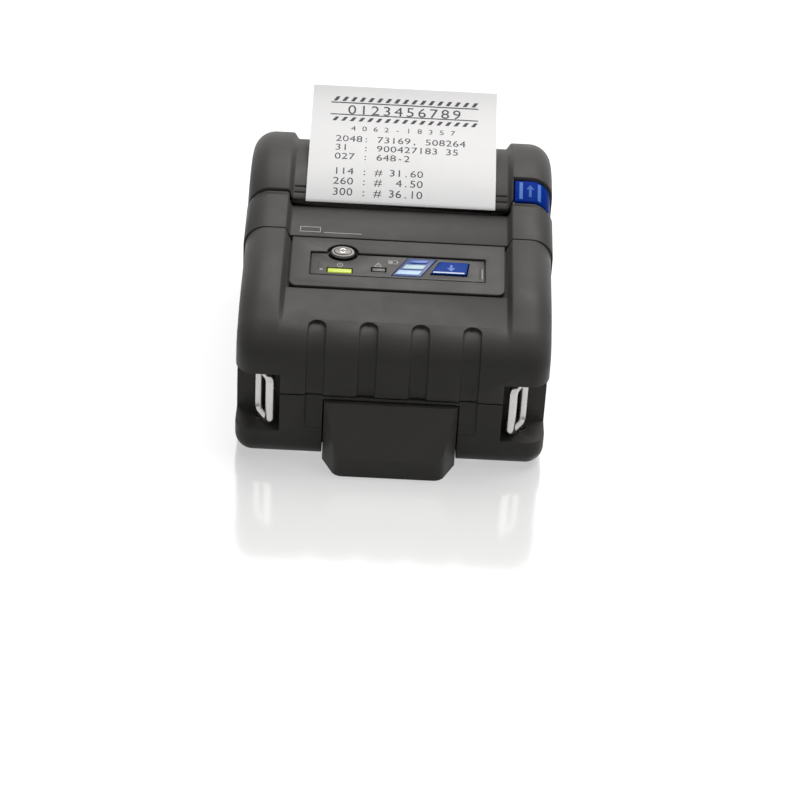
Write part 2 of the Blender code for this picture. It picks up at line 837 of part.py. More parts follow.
def make_panel_plate():
    corner = plate_corner
    start = band_length + clearance
    outline = [(-plate_half, start), (plate_half, start)]
    outline += arc(plate_half - corner, plate_end - corner, corner, 0, pi / 2, 5)
    outline += arc(-plate_half + corner, plate_end - corner, corner, pi / 2, pi, 5)
    plate = prism("panel_plate", outline, on_panel, plate_low, plate_high, charcoal)
    bevel(plate, plate_bevel, 2)
    middle = (inlay_start + inlay_end) / 2
    window = straight(0, middle, inlay_half, (inlay_end - inlay_start) / 2)
    cutters = [prism("window", window, on_panel, plate_low - overrun, plate_high + overrun),
               prism("well", power_outline(power_rim_x, power_rim_down), on_panel, plate_low - overrun,
                     plate_high + overrun)]
    return shade(boolean(plate, cutters))


def make_panel_overlay():
    """Wedge in the plate's window: deepest along its upper edge."""
    half = inlay_half - clearance
    start = inlay_start + clearance
    end = inlay_end - clearance
    places = [(start, plate_low), (start, inlay_high_start), (end, inlay_high_end), (end, plate_low)]
    vertices = [on_panel(x, down, out) for x in (-half, half) for down, out in places]
    faces = [(0, 1, 2, 3), (4, 5, 6, 7)] + [(k, (k + 1) % 4, (k + 1) % 4 + 4, k + 4) for k in range(4)]
    overlay = add_object("panel_overlay", vertices, faces, dark_plastic)
    cutters = panel_holes(plate_low - overrun, plate_high + overrun)
    cutters.append(prism("well", power_outline(power_rim_x, power_rim_down), on_panel, plate_low - overrun,
                         plate_high + overrun))
    return shade(boolean(overlay, cutters))


def make_lamps():
    lamp = straight(power_lamp_x, power_lamp_down, power_lamp_half_x, power_lamp_half_down)
    prism("power_lamp", lamp, on_panel, lamp_low, lamp_high, lamp_green)
    lamp = straight(error_lamp_x, error_lamp_down, error_lamp_half_x, error_lamp_half_down)
    prism("error_lamp", lamp, on_panel, lamp_low, lamp_high, dark_plastic)
    gauge = prism("battery_gauge", slanted(gauge_x, gauge_down, gauge_half_x, gauge_half_down), on_panel,
                  lamp_low, gauge_high, gauge_blue)
    bars = []
    for x_share, down_share, half_x_share, half_down_share in gauge_bar_shares:
        bar = slanted(gauge_x + gauge_half_x * x_share, gauge_down + gauge_half_down * down_share,
                      gauge_half_x * half_x_share, gauge_half_down * half_down_share)
        bars.append(prism("bar", bar, on_panel, gauge_high - gauge_bar_proud, gauge_high + gauge_bar_proud))
    boolean(gauge, bars, "UNION")


def button_stem(x, down):
    return prism("stem", circle(x, down, stem_radius, 10), on_panel, stem_low, button_body_low)


def make_power_button():
    """Domed oval key with a flange under the case skin and a stem over its switch."""
    button = prism("power_button", power_outline(0, 0), on_panel, button_body_low, button_proud, blue_black)
    bevel(button, button_proud / 2, 3)
    flange_high = -wall - button_skin_gap
    flange = prism("flange", power_outline(flange_width + clearance, flange_width + clearance), on_panel,
                   flange_high - flange_thickness, flange_high)
    neck = prism("neck", power_outline(-flange_width, -flange_width), on_panel,
                 flange_high - flange_thickness, button_proud / 2)
    boolean(button, [neck, flange, button_stem(power_x, power_down)], "UNION")
    return shade(button)


def make_feed_button():
    button = prism("feed_button", feed_outline(), on_panel, button_body_low, feed_high, blue_gloss)
    bevel(button, clearance, 1)
    flange_high = -wall - button_skin_gap
    flange = prism("flange", feed_outline(flange_width + clearance), on_panel, flange_high - flange_thickness,
                   flange_high)
    neck = prism("neck", feed_outline(-flange_width), on_panel, flange_high - flange_thickness, 0)
    boolean(button, [neck, flange, button_stem(feed_x, feed_down)], "UNION")
    return shade(button)


def make_panel_board():
    middle = (panel_board_start + panel_board_end) / 2
    board = straight(0, middle, panel_board_half, (panel_board_end - panel_board_start) / 2)
    prism("panel_board", board, on_panel, panel_board_low, panel_board_high, board_green)
    for name, x, down in (("power_switch", power_x, power_down), ("feed_switch", feed_x, feed_down)):
        low = panel_board_high + clearance
        switch = prism(name, straight(x, down, switch_half, switch_half), on_panel, low,
                       low + switch_height, steel)
        cap = prism("cap", circle(x, down, switch_cap_radius, 10), on_panel, low,
                    low + switch_height + switch_cap_height)
        boolean(switch, [cap], "UNION")


# Main board, contact block and case screws
# Each chip's centre and half sizes, as shares of the board's half width and of its depth
chip_shares = ((-0.432, 0.395, 0.135, 0.21), (0.108, 0.447, 0.108, 0.158), (0.54, 0.395, 0.081, 0.184))
chip_height = 0.0012
contact_half = 0.0090
contact_low_z = 0.0052
contact_high_z = 0.0130
contact_depth = 0.0022


def make_main_board():
    board = box("main_board", (-board_half, board_half), (board_front_y, board_rear_y),
                (board_low_z, board_low_z + board_thickness), board_green)
    top = board_low_z + board_thickness
    depth = board_rear_y - board_front_y
    chips = []
    for x_share, y_share, half_x_share, half_y_share in chip_shares:
        x, half_x = board_half * x_share, board_half * half_x_share
        y, half_y = board_front_y + depth * y_share, depth * half_y_share
        chips.append(box("chip", (x - half_x, x + half_x), (y - half_y, y + half_y),
                         (top - chip_height / 2, top + chip_height)))
    boolean(board, chips, "UNION")


def make_contact_block():
    """Contact block behind the battery pack, on the end wall of the bay."""
    start = pack_rear_y + clearance + bay_wall
    box("battery_contact", (-contact_half, contact_half), (start, start + contact_depth),
        (contact_low_z, contact_high_z), white_plastic)


def make_screws():
    for index, (x, y) in enumerate(screw_places):
        head_top = screw_head_z + screw_head_height
        head = prism("case_screw_%d" % (index + 1), circle(x, y, screw_head_radius, 12), along_z,
                     screw_head_z, head_top, steel)
        shaft = prism("shaft", circle(x, y, screw_shaft_radius, 8), along_z,
                      head_top - screw_head_height / 2, screw_top_z)
        slot_width = screw_shaft_radius / 2
        socket = [box("socket", (x - half_x, x + half_x), (y - half_y, y + half_y),
                      (screw_head_z - overrun, screw_head_z + screw_head_height / 2))
                  for half_x, half_y in ((screw_shaft_radius, slot_width), (slot_width, screw_shaft_radius))]
        boolean(head, [shaft], "UNION")
        boolean(head, socket)
        shade(head)


# Battery pack
cell_spacing = cell_radius + clearance


def make_battery():
    root = front_y + clearance
    nose = pack_front_y
    corner = nose_corner
    outline = [(-pack_half, root), (-pack_half, pack_rear_y - pack_lid), (pack_half, pack_rear_y - pack_lid),
               (pack_half, root)]
    lean = atan2(pack_half - nose_half, nose_length)
    outline += arc(nose_half - corner, nose + corner, corner, -lean, -pi / 2, 4)
    outline += arc(-nose_half + corner, nose + corner, corner, -pi / 2, -pi + lean, 4)
    case = prism("battery_case", outline, along_z, 0, pack_height, charcoal)
    steepness = (pack_height - nose_top_z) / (nose_slope_y - nose)
    chamfer = [(nose_slope_y, pack_height), (nose - overrun, nose_top_z - overrun * steepness),
               (nose - overrun, pack_height + overrun), (nose_slope_y, pack_height + overrun)]
    cavity = box("cavity", (-pack_half + pack_skin, pack_half - pack_skin),
                 (cell_front_y - clearance, overrun), (pack_skin, pack_height - pack_skin))
    cutters = [block_yz("chamfer", chamfer), cavity]
    for side in (-1, 1):
        x = tuple(sorted((side * (bay_half - rail_depth - clearance), side * (pack_half + overrun))))
        cutters.append(box("groove", x, (front_y + rail_end_gap - clearance, overrun),
                           (rail_low_z - clearance, rail_low_z + rail_height + clearance)))
    shade(boolean(case, cutters))
    lid_front = pack_rear_y - pack_lid + clearance
    lid = box("battery_lid", (-pack_half, pack_half), (lid_front, pack_rear_y), (0, pack_height), charcoal)
    notches = []
    for side in (-1, 1):
        x = tuple(sorted((side * (bay_half - rail_depth - clearance), side * (pack_half + overrun))))
        notches.append(box("notch", x, (lid_front - overrun, overrun),
                           (rail_low_z - clearance, rail_low_z + rail_height + clearance)))
    boolean(lid, notches)
    middle = pack_height / 2
    for index, side in enumerate((-1, 1)):
        x = side * cell_spacing
        front = cell_front_y
        cell = prism("battery_cell_%d" % (index + 1), circle(x, middle, cell_radius, 24), along_y, front,
                     front + cell_length - cell_cap, cell_wrap)
        cap = prism("cap", circle(x, middle, cell_cap_radius, 12), along_y,
                    front + cell_length - cell_cap * 2, front + cell_length)
        shade(boolean(cell, [cap], "UNION"))


# Interface flap, jack and port

def make_interface():
    outer_x = -case_half_width
    axis = (-flap_axis_x, flap_axis_z)
    outline = arc(*axis, flap_thickness / 2, -pi, 0, 6) + [(outer_x + flap_thickness, flap_high_z),
                                                           (outer_x, flap_high_z)]
    flap = prism("interface_flap", outline, along_y, flap_front_y, flap_rear_y, rubber)
    bore = prism("bore", circle(*axis, flap_pin_radius + clearance, 8), along_y, flap_front_y - overrun,
                 flap_rear_y + overrun)
    middle = (flap_front_y + flap_rear_y) / 2
    knob = box("lip", (outer_x - flap_thickness / 4, outer_x + flap_thickness / 2),
               (middle - flap_lip_half, middle + flap_lip_half),
               (flap_high_z - flap_thickness * 1.5, flap_high_z - flap_thickness * 0.75))
    boolean(flap, [knob], "UNION")
    boolean(flap, [bore])
    prism("flap_pin", circle(*axis, flap_pin_radius, 8), along_y, flap_front_y - pocket_wall + clearance,
          flap_rear_y + pocket_wall - clearance, steel)
    seat = -pocket_floor_x
    jack = prism("charge_jack", circle(jack_y, socket_z, jack_radius, 14), along_x, seat - socket_proud,
                 seat + socket_length, dark_plastic)
    bore = prism("bore", circle(jack_y, socket_z, jack_bore, 12), along_x, seat - overrun,
                 seat + socket_length - socket_proud)
    boolean(jack, [bore])
    pin = prism("pin", circle(jack_y, socket_z, jack_pin_radius, 8), along_x, seat,
                seat + socket_length - socket_proud / 2)
    shade(boolean(jack, [pin], "UNION"))
    port = prism("serial_port", rectangle(port_y - port_half_length, port_y + port_half_length,
                                          socket_z - port_half_height, socket_z + port_half_height),
                 along_x, seat - socket_proud, seat + socket_length, steel)
    half_length = port_half_length - port_skin
    half_height = port_half_height - port_skin
    inside = prism("inside", rectangle(port_y - half_length, port_y + half_length, socket_z - half_height,
                                       socket_z + half_height),
                   along_x, seat - overrun, seat + socket_length - socket_proud)
    boolean(port, [inside])


flap_lip_half = 0.0030

# Strap rings

def make_ring(name, side):
    """Wire ring with two upright legs, which turns on pins above and below its rear leg."""
    pivot = Vector((side * ring_pivot_x, ring_pivot_y, 0))
    reach = Vector((side * ring_free_x, ring_free_y, 0)) - pivot
    length = reach.length
    direction = reach.normalized()
    low = ring_low_z + ring_rod
    high = ring_high_z - ring_rod
    bend = ring_bend
    path = arc(bend, high - bend, bend, pi, pi / 2, 4) + arc(length - bend, high - bend, bend, pi / 2, 0, 4)
    path += arc(length - bend, low + bend, bend, 0, -pi / 2, 4) + arc(bend, low + bend, bend, -pi / 2, -pi, 4)
    sides = 8
    square = direction.cross(Vector((0, 0, 1)))
    vertices = []
    count = len(path)
    for index, (a, z) in enumerate(path):
        before = Vector(path[index - 1])
        after = Vector(path[(index + 1) % count])
        run = (after - before).normalized()
        outward = direction * -run.y + Vector((0, 0, 1)) * run.x
        centre = pivot + direction * a + Vector((0, 0, z))
        for k in range(sides):
            angle = 2 * pi * (k + 0.5) / sides
            vertices.append(centre + outward * (ring_rod * cos(angle)) + square * (ring_rod * sin(angle)))
    faces = []
    for i in range(count):
        j = (i + 1) % count
        faces += [(i * sides + k, i * sides + (k + 1) % sides, j * sides + (k + 1) % sides, j * sides + k)
                  for k in range(sides)]
    ring = add_object(name, vertices, faces, steel)
    pin = prism("pin", circle(pivot.x, pivot.y, ring_pin_radius, 10), along_z, ring_low_z - ring_pin_length,
                ring_high_z + ring_pin_length)
    return shade(boolean(ring, [pin], "UNION"), radians(50))


# Roll bucket, roll and paper
bucket_skin = 0.0013
bucket_margin = 0.0010
bucket_side_x = path_half + bucket_margin
bucket_side = 0.0012
bucket_front_rim_z = 0.0330
bucket_rear_rim_z = 0.0290
bucket_foot_front_y = 0.0170
bucket_foot_rear_y = 0.0260
roll_y = bucket_y
roll_z = bucket_z - bucket_radius + roll_radius + clearance
core_wall = 0.0011
web_front_y = 0.0014
web_high_z = 0.0450
receipt_low_z = 0.0456


def make_bucket():
    outer = bucket_radius + bucket_skin
    start = pi - asin((bucket_front_rim_z - bucket_z) / outer)
    end = 2 * pi + asin((bucket_rear_rim_z - bucket_z) / outer)
    disc = arc(bucket_y, bucket_z, outer, start, end, 20)
    shell = disc + arc(bucket_y, bucket_z, bucket_radius, end, start, 20)
    reach = bucket_side_x + bucket_side
    bucket = prism("roll_bucket", shell, along_x, -reach, reach, dark_plastic)
    sides = [prism("side", disc, along_x, *sorted((side * bucket_side_x, side * reach))) for side in (-1, 1)]
    low = bucket_z - bucket_radius - bucket_skin / 2
    foot = box("foot", (-bucket_side_x, bucket_side_x), (bucket_foot_front_y, bucket_foot_rear_y),
               (wall + clearance, low))
    return shade(boolean(bucket, sides + [foot], "UNION"))


def make_roll():
    for name, outer, inner, finish in (("paper_roll", roll_radius, core_radius + clearance, paper_white),
                                       ("roll_core", core_radius, core_radius - core_wall, card)):
        turned = prism(name, circle(roll_y, roll_z, outer, 48), along_x, -paper_half, paper_half, finish)
        bore = prism("bore", circle(roll_y, roll_z, inner, 24), along_x, -paper_half - overrun,
                     paper_half + overrun)
        shade(boolean(turned, [bore]))


def receipt_path(count):
    """Centre line of the receipt in Y and Z: up from the print line, over the lip, then above the cover."""
    y, z = web_front_y + paper_thickness / 2, receipt_low_z
    points = [(y, z)]
    for index in range(count):
        share = (index + 0.5) / count
        run = receipt_length * share
        if run < receipt_rise + receipt_bend:
            angle = pi / 2 - (pi / 2 - receipt_end_angle) * smooth((run - receipt_rise) / receipt_bend)
        else:
            along = (run - receipt_rise - receipt_bend) / (receipt_length - receipt_rise - receipt_bend)
            angle = receipt_mid_angle + (receipt_end_angle - receipt_mid_angle) * (2 * along - 1) ** 2
        y += cos(angle) * receipt_length / count
        z += sin(angle) * receipt_length / count
        points.append((y, z))
    return points


receipt_length = 0.0533
receipt_rise = 0.0073
receipt_bend = 0.0020
receipt_mid_angle = radians(15.5)
receipt_end_angle = radians(33)
receipt_steps = 32


def make_paper():
    thick = paper_thickness / 2
    foot_y = roll_y - roll_radius - clearance - paper_thickness
    web = [(foot_y, roll_z), (foot_y + paper_thickness, roll_z), (web_front_y + paper_thickness, platen_z),
           (web_front_y + paper_thickness, web_high_z), (web_front_y, web_high_z), (web_front_y, platen_z)]
    prism("paper_web", web, along_x, -paper_half, paper_half, paper_white)
    path = receipt_path(receipt_steps)
    front, back = [], []
    for index, (y, z) in enumerate(path):
        before = path[max(index - 1, 0)]
        after = path[min(index + 1, len(path) - 1)]
        run = Vector((after[0] - before[0], after[1] - before[1])).normalized()
        front.append((y - run.y * thick, z + run.x * thick))
        back.append((y + run.y * thick, z - run.x * thick))
    shade(prism("receipt_strip", front + back[::-1], along_x, -paper_half, paper_half, paper_white))


# Platen, its holder and gears
bush_radius = 0.0022
cheek_front_y = 0.0036
cheek_rear_y = 0.0100
cheek_low_z = 0.0410
holder_rear_y = 0.0120
holder_thickness = 0.0017
gear_module = 0.0005
platen_teeth = 20
small_teeth = 14
large_teeth = 36
pinion_teeth = 12
gear_width = 0.0011
gear_layer_gap = 0.0003
small_direction = atan2(-0.8, -0.6)
pinion_direction = atan2(-0.51, -0.86)
pinion_bore_radius = 0.0007
motor_radius = 0.0075
motor_length = 0.0120
stud_radius = 0.0010

reduction_distance = gear_module * (platen_teeth + small_teeth) / 2
reduction_y = platen_y + reduction_distance * cos(small_direction)
reduction_z = platen_z + reduction_distance * sin(small_direction)
pinion_distance = gear_module * (large_teeth + pinion_teeth) / 2
motor_y = reduction_y + pinion_distance * cos(pinion_direction)
motor_z = reduction_z + pinion_distance * sin(pinion_direction)
shaft_left_x = gear_inner_x + gear_width
large_inner_x = gear_inner_x + gear_width + gear_layer_gap
large_outer_x = large_inner_x + gear_width


def gear_outline(y, z, teeth, phase):
    """Straight-sided teeth with play, one tooth centred on the phase angle."""
    pitch = gear_module * teeth / 2
    tip = pitch + gear_module * tooth_tip_share
    root = pitch - gear_module * tooth_root_share
    step = 2 * pi / teeth
    outline = []
    for index in range(teeth):
        for radius, share in ((root, -root_half_share), (tip, -tip_half_share), (tip, tip_half_share),
                              (root, root_half_share)):
            angle = phase + step * (index + share)
            outline.append((y + radius * cos(angle), z + radius * sin(angle)))
    return outline


tooth_tip_share = 0.62
tooth_root_share = 1.0
tip_half_share = 0.09
root_half_share = 0.27


def make_platen():
    roller = prism("platen_roller", circle(platen_y, platen_z, platen_radius, 32), along_x, -platen_half,
                   platen_half, rubber)
    bore = prism("bore", circle(platen_y, platen_z, platen_shaft_radius + clearance, 16), along_x,
                 -platen_half - overrun, platen_half + overrun)
    shade(boolean(roller, [bore]))
    shade(prism("platen_shaft", circle(platen_y, platen_z, platen_shaft_radius, 16), along_x, -shaft_left_x,
                frame_plate_inner_x + frame_plate, steel))
    gear = prism("platen_gear", gear_outline(platen_y, platen_z, platen_teeth, small_direction), along_x,
                 -gear_inner_x - gear_width, -gear_inner_x, white_plastic)
    bore = prism("bore", circle(platen_y, platen_z, platen_shaft_radius + clearance, 16), along_x,
                 -gear_inner_x - gear_width - overrun, -gear_inner_x + overrun)
    boolean(gear, [bore])
    for name, side in (("platen_bush_left", -1), ("platen_bush_right", 1)):
        ends = sorted((side * bush_inner_x, side * bush_outer_x))
        bush = prism(name, circle(platen_y, platen_z, bush_radius, 20), along_x, *ends, brass)
        bore = prism("bore", circle(platen_y, platen_z, platen_shaft_radius + clearance, 16), along_x,
                     ends[0] - overrun, ends[1] + overrun)
        shade(boolean(bush, [bore]))


def make_platen_holder():
    """Bar under the cover's lip with a cheek at each end, which holds the platen bushes."""
    outer = roll_arc_radius + cover_level - wall - clearance
    inner = outer - holder_thickness
    middle = outer - holder_thickness / 2
    front_angle = acos((lip_y + clearance - roll_arc_y) / inner)
    rear_angle = acos((holder_rear_y - roll_arc_y) / inner)
    outline = arc(roll_arc_y, roll_arc_z, outer, front_angle, rear_angle, 4)
    outline += arc(roll_arc_y, roll_arc_z, inner, rear_angle, front_angle, 4)
    holder = prism("platen_holder", outline, along_x, -cheek_outer_x, cheek_outer_x, dark_plastic)
    cheek = [(cheek_front_y, cheek_low_z), (cheek_rear_y, cheek_low_z)]
    cheek += [(roll_arc_y + middle * cos(angle), roll_arc_z + middle * sin(angle))
              for angle in (rear_angle, (front_angle + rear_angle) / 2, front_angle)]
    cheek.append((cheek_front_y, platen_z + bush_radius))
    cheeks = [prism("cheek", cheek, along_x, *sorted((side * cheek_inner_x, side * cheek_outer_x)))
              for side in (-1, 1)]
    boolean(holder, cheeks, "UNION")
    bore = prism("bore", circle(platen_y, platen_z, bush_radius + clearance, 20), along_x,
                 -cheek_outer_x - overrun, cheek_outer_x + overrun)
    return shade(boolean(holder, [bore]))


def make_gears():
    small_phase = small_direction + pi + pi / small_teeth
    reduction = prism("reduction_gear", gear_outline(reduction_y, reduction_z, small_teeth, small_phase),
                      along_x, -large_inner_x - clearance, -gear_inner_x, white_plastic)
    large = prism("large", gear_outline(reduction_y, reduction_z, large_teeth, pinion_direction), along_x,
                  -large_outer_x, -large_inner_x)
    boolean(reduction, [large], "UNION")
    bore = prism("bore", circle(reduction_y, reduction_z, stud_radius + clearance, 12), along_x,
                 -large_outer_x - overrun, -gear_inner_x + overrun)
    boolean(reduction, [bore])
    phase = pinion_direction + pi + pi / pinion_teeth
    pinion = prism("motor_pinion", gear_outline(motor_y, motor_z, pinion_teeth, phase), along_x,
                   -large_outer_x, -gear_inner_x, brass)
    shaft = prism("shaft", circle(motor_y, motor_z, pinion_bore_radius, 8), along_x, -large_outer_x,
                  -frame_plate_inner_x)
    boolean(pinion, [shaft], "UNION")
    start = -frame_plate_inner_x + clearance
    shade(prism("stepper_motor", circle(motor_y, motor_z, motor_radius, 28), along_x, start,
                start + motor_length, steel))


# Mechanism frame with its two side plates
frame_low_z = case_split_z + clearance / 2
frame_front_y = -0.0125
frame_rear_y = 0.0098
frame_height = 0.0262
# Corners of a side plate, as shares of its depth and height
side_plate_shares = ((0, 0), (0.27, 0), (0.426, 0.229), (0.83, 0.649), (1, 0.763), (1, 1), (0.381, 1),
                     (0.112, 0.924), (0, 0.763))
notch_half = 0.0019
notch_length = 0.0120
notch_flare_share = 1.5
cross_rear_y = -0.0064
cross_depth = 0.0010
cross_low_z = 0.0398
cross_high_z = 0.0476
latch_axis_y = -0.0015
latch_axis_z = 0.0370
latch_bar_radius = 0.0012


def make_frame():
    outer_x = frame_plate_inner_x + frame_plate
    depth = frame_rear_y - frame_front_y
    plate = [(frame_front_y + depth * across, frame_low_z + frame_height * up)
             for across, up in side_plate_shares]
    cross = rectangle(cross_rear_y - cross_depth, cross_rear_y, cross_low_z, cross_high_z)
    frame = prism("mech_frame", cross, along_x, -outer_x, outer_x, steel)
    plates = [prism("plate", plate, along_x, *sorted((side * frame_plate_inner_x, side * outer_x)))
              for side in (-1, 1)]
    boolean(frame, plates, "UNION")
    opening = Vector((hinge_z - platen_z, platen_y - hinge_y))
    leave = Vector((-opening.x, -opening.y)).normalized()
    sideways = Vector((leave.y, -leave.x)) * notch_half
    base = Vector((platen_y, platen_z)) - leave * notch_half
    tip = Vector((platen_y, platen_z)) + leave * notch_length
    notch = [tuple(base - sideways), tuple(base + sideways), tuple(tip + sideways * notch_flare_share),
             tuple(tip - sideways)]
    cutters = [block_yz("notch", notch)]
    for y, z, radius in ((latch_axis_y, latch_axis_z, latch_bar_radius),
                         (motor_y, motor_z, pinion_bore_radius)):
        cutters.append(prism("hole", circle(y, z, radius + clearance, 12), along_x, -outer_x - overrun,
                             outer_x + overrun))
    boolean(frame, cutters)
    stud = prism("stud", circle(reduction_y, reduction_z, stud_radius, 10), along_x,
                 -large_outer_x - clearance, -frame_plate_inner_x - frame_plate / 2)
    boolean(frame, [stud], "UNION")
    return shade(frame)


# Latch bar with two hooks and a tail for the lever, and its spring
hook_height = 0.0113
# Corners of a hook and of the tail from the latch axis, as shares of their heights
hook_shares = ((-0.088, -0.097), (0.124, -0.106), (0.292, 0.177), (0.442, 0.487), (0.442, 0.85),
               (0.522, 0.903), (0.54, 1.0), (0.283, 1.0), (0.159, 0.619), (-0.106, 0.097))
tail_height = 0.0086
tail_shares = ((-0.13, -0.15), (0.13, -0.15), (0.20, 0.16), (0.42, 0.81), (0.49, 0.93), (0.453, 1.0),
               (0.36, 0.97), (-0.13, 0.16))
spring_radius = 0.0018
spring_wire = 0.0002
spring_turns = 6
spring_start_x = 0.0200
spring_end_x = 0.0262


def make_latch():
    bar = prism("latch_bar", circle(latch_axis_y, latch_axis_z, latch_bar_radius, 12), along_x,
                -frame_plate_inner_x - frame_plate, tail_outer_x, steel)
    hook = [(latch_axis_y + hook_height * across, latch_axis_z + hook_height * up)
            for across, up in hook_shares]
    hooks = [prism("hook", hook, along_x, *sorted((side * hook_inner_x, side * hook_outer_x)))
             for side in (-1, 1)]
    tail = [(latch_axis_y + tail_height * across, latch_axis_z + tail_height * up)
            for across, up in tail_shares]
    hooks.append(prism("tail", tail, along_x, tail_inner_x, tail_outer_x))
    return shade(boolean(bar, hooks, "UNION"))


def tube(name, path, radius, sides, finish):
    """Tube of the given radius along a list of points."""
    curve = bpy.data.curves.new(name, "CURVE")
    curve.dimensions = "3D"
    curve.bevel_depth = radius
    curve.bevel_resolution = sides
    curve.use_fill_caps = True
    spline = curve.splines.new("POLY")
    spline.points.add(len(path) - 1)
    for point, place in zip(spline.points, path):
        point.co = (*place, 1.0)
    made = bpy.data.objects.new(name, curve)
    bpy.context.scene.collection.objects.link(made)
    curve.materials.append(material(name, *finish))
    return made


def coil(start, end, turns, radius, steps):
    """Points of a coil between two points on an axis."""
    start, end = Vector(start), Vector(end)
    axis = (end - start).normalized()
    side = axis.orthogonal().normalized()
    other = axis.cross(side)
    count = turns * steps
    return [start + (end - start) * (i / count) + side * (radius * cos(2 * pi * i / steps))
            + other * (radius * sin(2 * pi * i / steps)) for i in range(count + 1)]


def make_latch_spring():
    path = coil((spring_start_x, latch_axis_y, latch_axis_z), (spring_end_x, latch_axis_y, latch_axis_z),
                spring_turns, spring_radius, 10)
    tube("latch_spring", path, spring_wire, 1, steel)


# Print head: ceramic on a heat sink, pressed towards the platen by two springs
head_margin = 0.0006
head_half = path_half - head_margin
sink_front_y = -0.0026
sink_rear_y = 0.0000
sink_low_z = 0.0396
head_top_z = 0.0472
ceramic_low_z = 0.0412
ceramic_rear_y = 0.0011
head_spring_x = 0.0150
head_spring_z = 0.0438
head_spring_radius = 0.0016
head_spring_wire = 0.0003
head_spring_turns = 3


def make_head():
    box("head_heatsink", (-head_half, head_half), (sink_front_y, sink_rear_y), (sink_low_z, head_top_z),
        aluminium)
    box("head_ceramic", (-head_half, head_half), (sink_rear_y + clearance, ceramic_rear_y),
        (ceramic_low_z, head_top_z), ceramic)
    for name, side in (("head_spring_left", -1), ("head_spring_right", 1)):
        x = side * head_spring_x
        start = cross_rear_y + clearance + head_spring_wire
        end = sink_front_y - clearance - head_spring_wire
        path = coil((x, start, head_spring_z), (x, end, head_spring_z), head_spring_turns,
                    head_spring_radius, 10)
        tube(name, path, head_spring_wire, 1, steel)


# Paper sensor on the front rim of the bucket
sensor_x = 0.0090
sensor_half = 0.0030
sensor_y = -0.0003
sensor_depth = 0.0022
sensor_height = 0.0018


def make_sensor():
    low = bucket_front_rim_z + clearance
    box("paper_sensor", (sensor_x - sensor_half, sensor_x + sensor_half),
        (sensor_y - sensor_depth / 2, sensor_y + sensor_depth / 2), (low, low + sensor_height), dark_plastic)


def make_hinge_pin():
    shade(prism("hinge_pin", circle(hinge_y, hinge_z, hinge_pin_radius, 12), along_x, -knuckle_limit,
                knuckle_limit, steel))


lamp_green = ((0.45, 0.75, 0.03), 0.35)
gauge_blue = ((0.12, 0.3, 0.65), 0.3)
blue_black = ((0.05, 0.05, 0.055), 0.18, 0.6)
cell_wrap = ((0.02, 0.12, 0.3), 0.4)
card = ((0.42, 0.33, 0.22), 0.8)
aluminium = ((0.75, 0.75, 0.76), 0.35, 1.0)
ceramic = ((0.78, 0.76, 0.7), 0.3)


def build():
    clear_scene()
    make_lower_case()
    make_front_case()
    make_head_cover()
    make_tear_bar()
    make_cover_shell()
    make_lever()
    make_panel_plate()
    make_panel_overlay()
    make_lamps()
    make_power_button()
    make_feed_button()
    make_panel_board()
    make_main_board()
    make_contact_block()
    make_screws()
    make_battery()
    make_interface()
    make_ring("strap_ring_left", -1)
    make_ring("strap_ring_right", 1)
    make_bucket()
    make_roll()
    make_paper()
    make_platen()
    make_platen_holder()
    make_gears()
    make_frame()
    make_latch()
    make_latch_spring()
    make_head()
    make_sensor()
    make_hinge_pin()


build()
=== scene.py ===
"""Looks of the mobile printer: fine shells, panel, printed receipt, materials, light and camera.

Metres, Z up, in the frame's own coordinates. The shells repeat the body outline of the solids with
more stations, and take the same cuts, so that each one fills the place of the node that it replaces.
"""
from math import atan2, ceil, cos, hypot, pi, radians, sin, sqrt

import bmesh
import bpy
from mathutils import Matrix, Vector


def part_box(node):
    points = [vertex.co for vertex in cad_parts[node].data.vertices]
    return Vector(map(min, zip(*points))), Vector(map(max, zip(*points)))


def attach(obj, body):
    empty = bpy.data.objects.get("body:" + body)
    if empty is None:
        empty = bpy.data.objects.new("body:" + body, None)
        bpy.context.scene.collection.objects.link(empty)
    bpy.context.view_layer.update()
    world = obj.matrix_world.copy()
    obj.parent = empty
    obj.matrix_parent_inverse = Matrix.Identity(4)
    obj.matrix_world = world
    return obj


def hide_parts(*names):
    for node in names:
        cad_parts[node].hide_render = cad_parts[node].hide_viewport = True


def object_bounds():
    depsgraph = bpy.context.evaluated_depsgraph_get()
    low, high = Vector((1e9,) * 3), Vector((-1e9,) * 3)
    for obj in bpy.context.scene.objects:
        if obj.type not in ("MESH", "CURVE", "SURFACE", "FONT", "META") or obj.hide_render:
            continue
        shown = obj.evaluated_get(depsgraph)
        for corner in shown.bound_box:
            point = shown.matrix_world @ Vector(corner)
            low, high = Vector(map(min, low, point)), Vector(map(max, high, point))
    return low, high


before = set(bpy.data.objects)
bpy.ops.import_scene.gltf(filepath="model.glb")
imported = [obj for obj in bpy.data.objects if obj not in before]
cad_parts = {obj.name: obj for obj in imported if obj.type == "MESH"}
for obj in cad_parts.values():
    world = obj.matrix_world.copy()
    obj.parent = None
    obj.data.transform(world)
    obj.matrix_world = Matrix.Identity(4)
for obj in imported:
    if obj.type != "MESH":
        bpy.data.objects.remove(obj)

cad_low, cad_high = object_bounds()

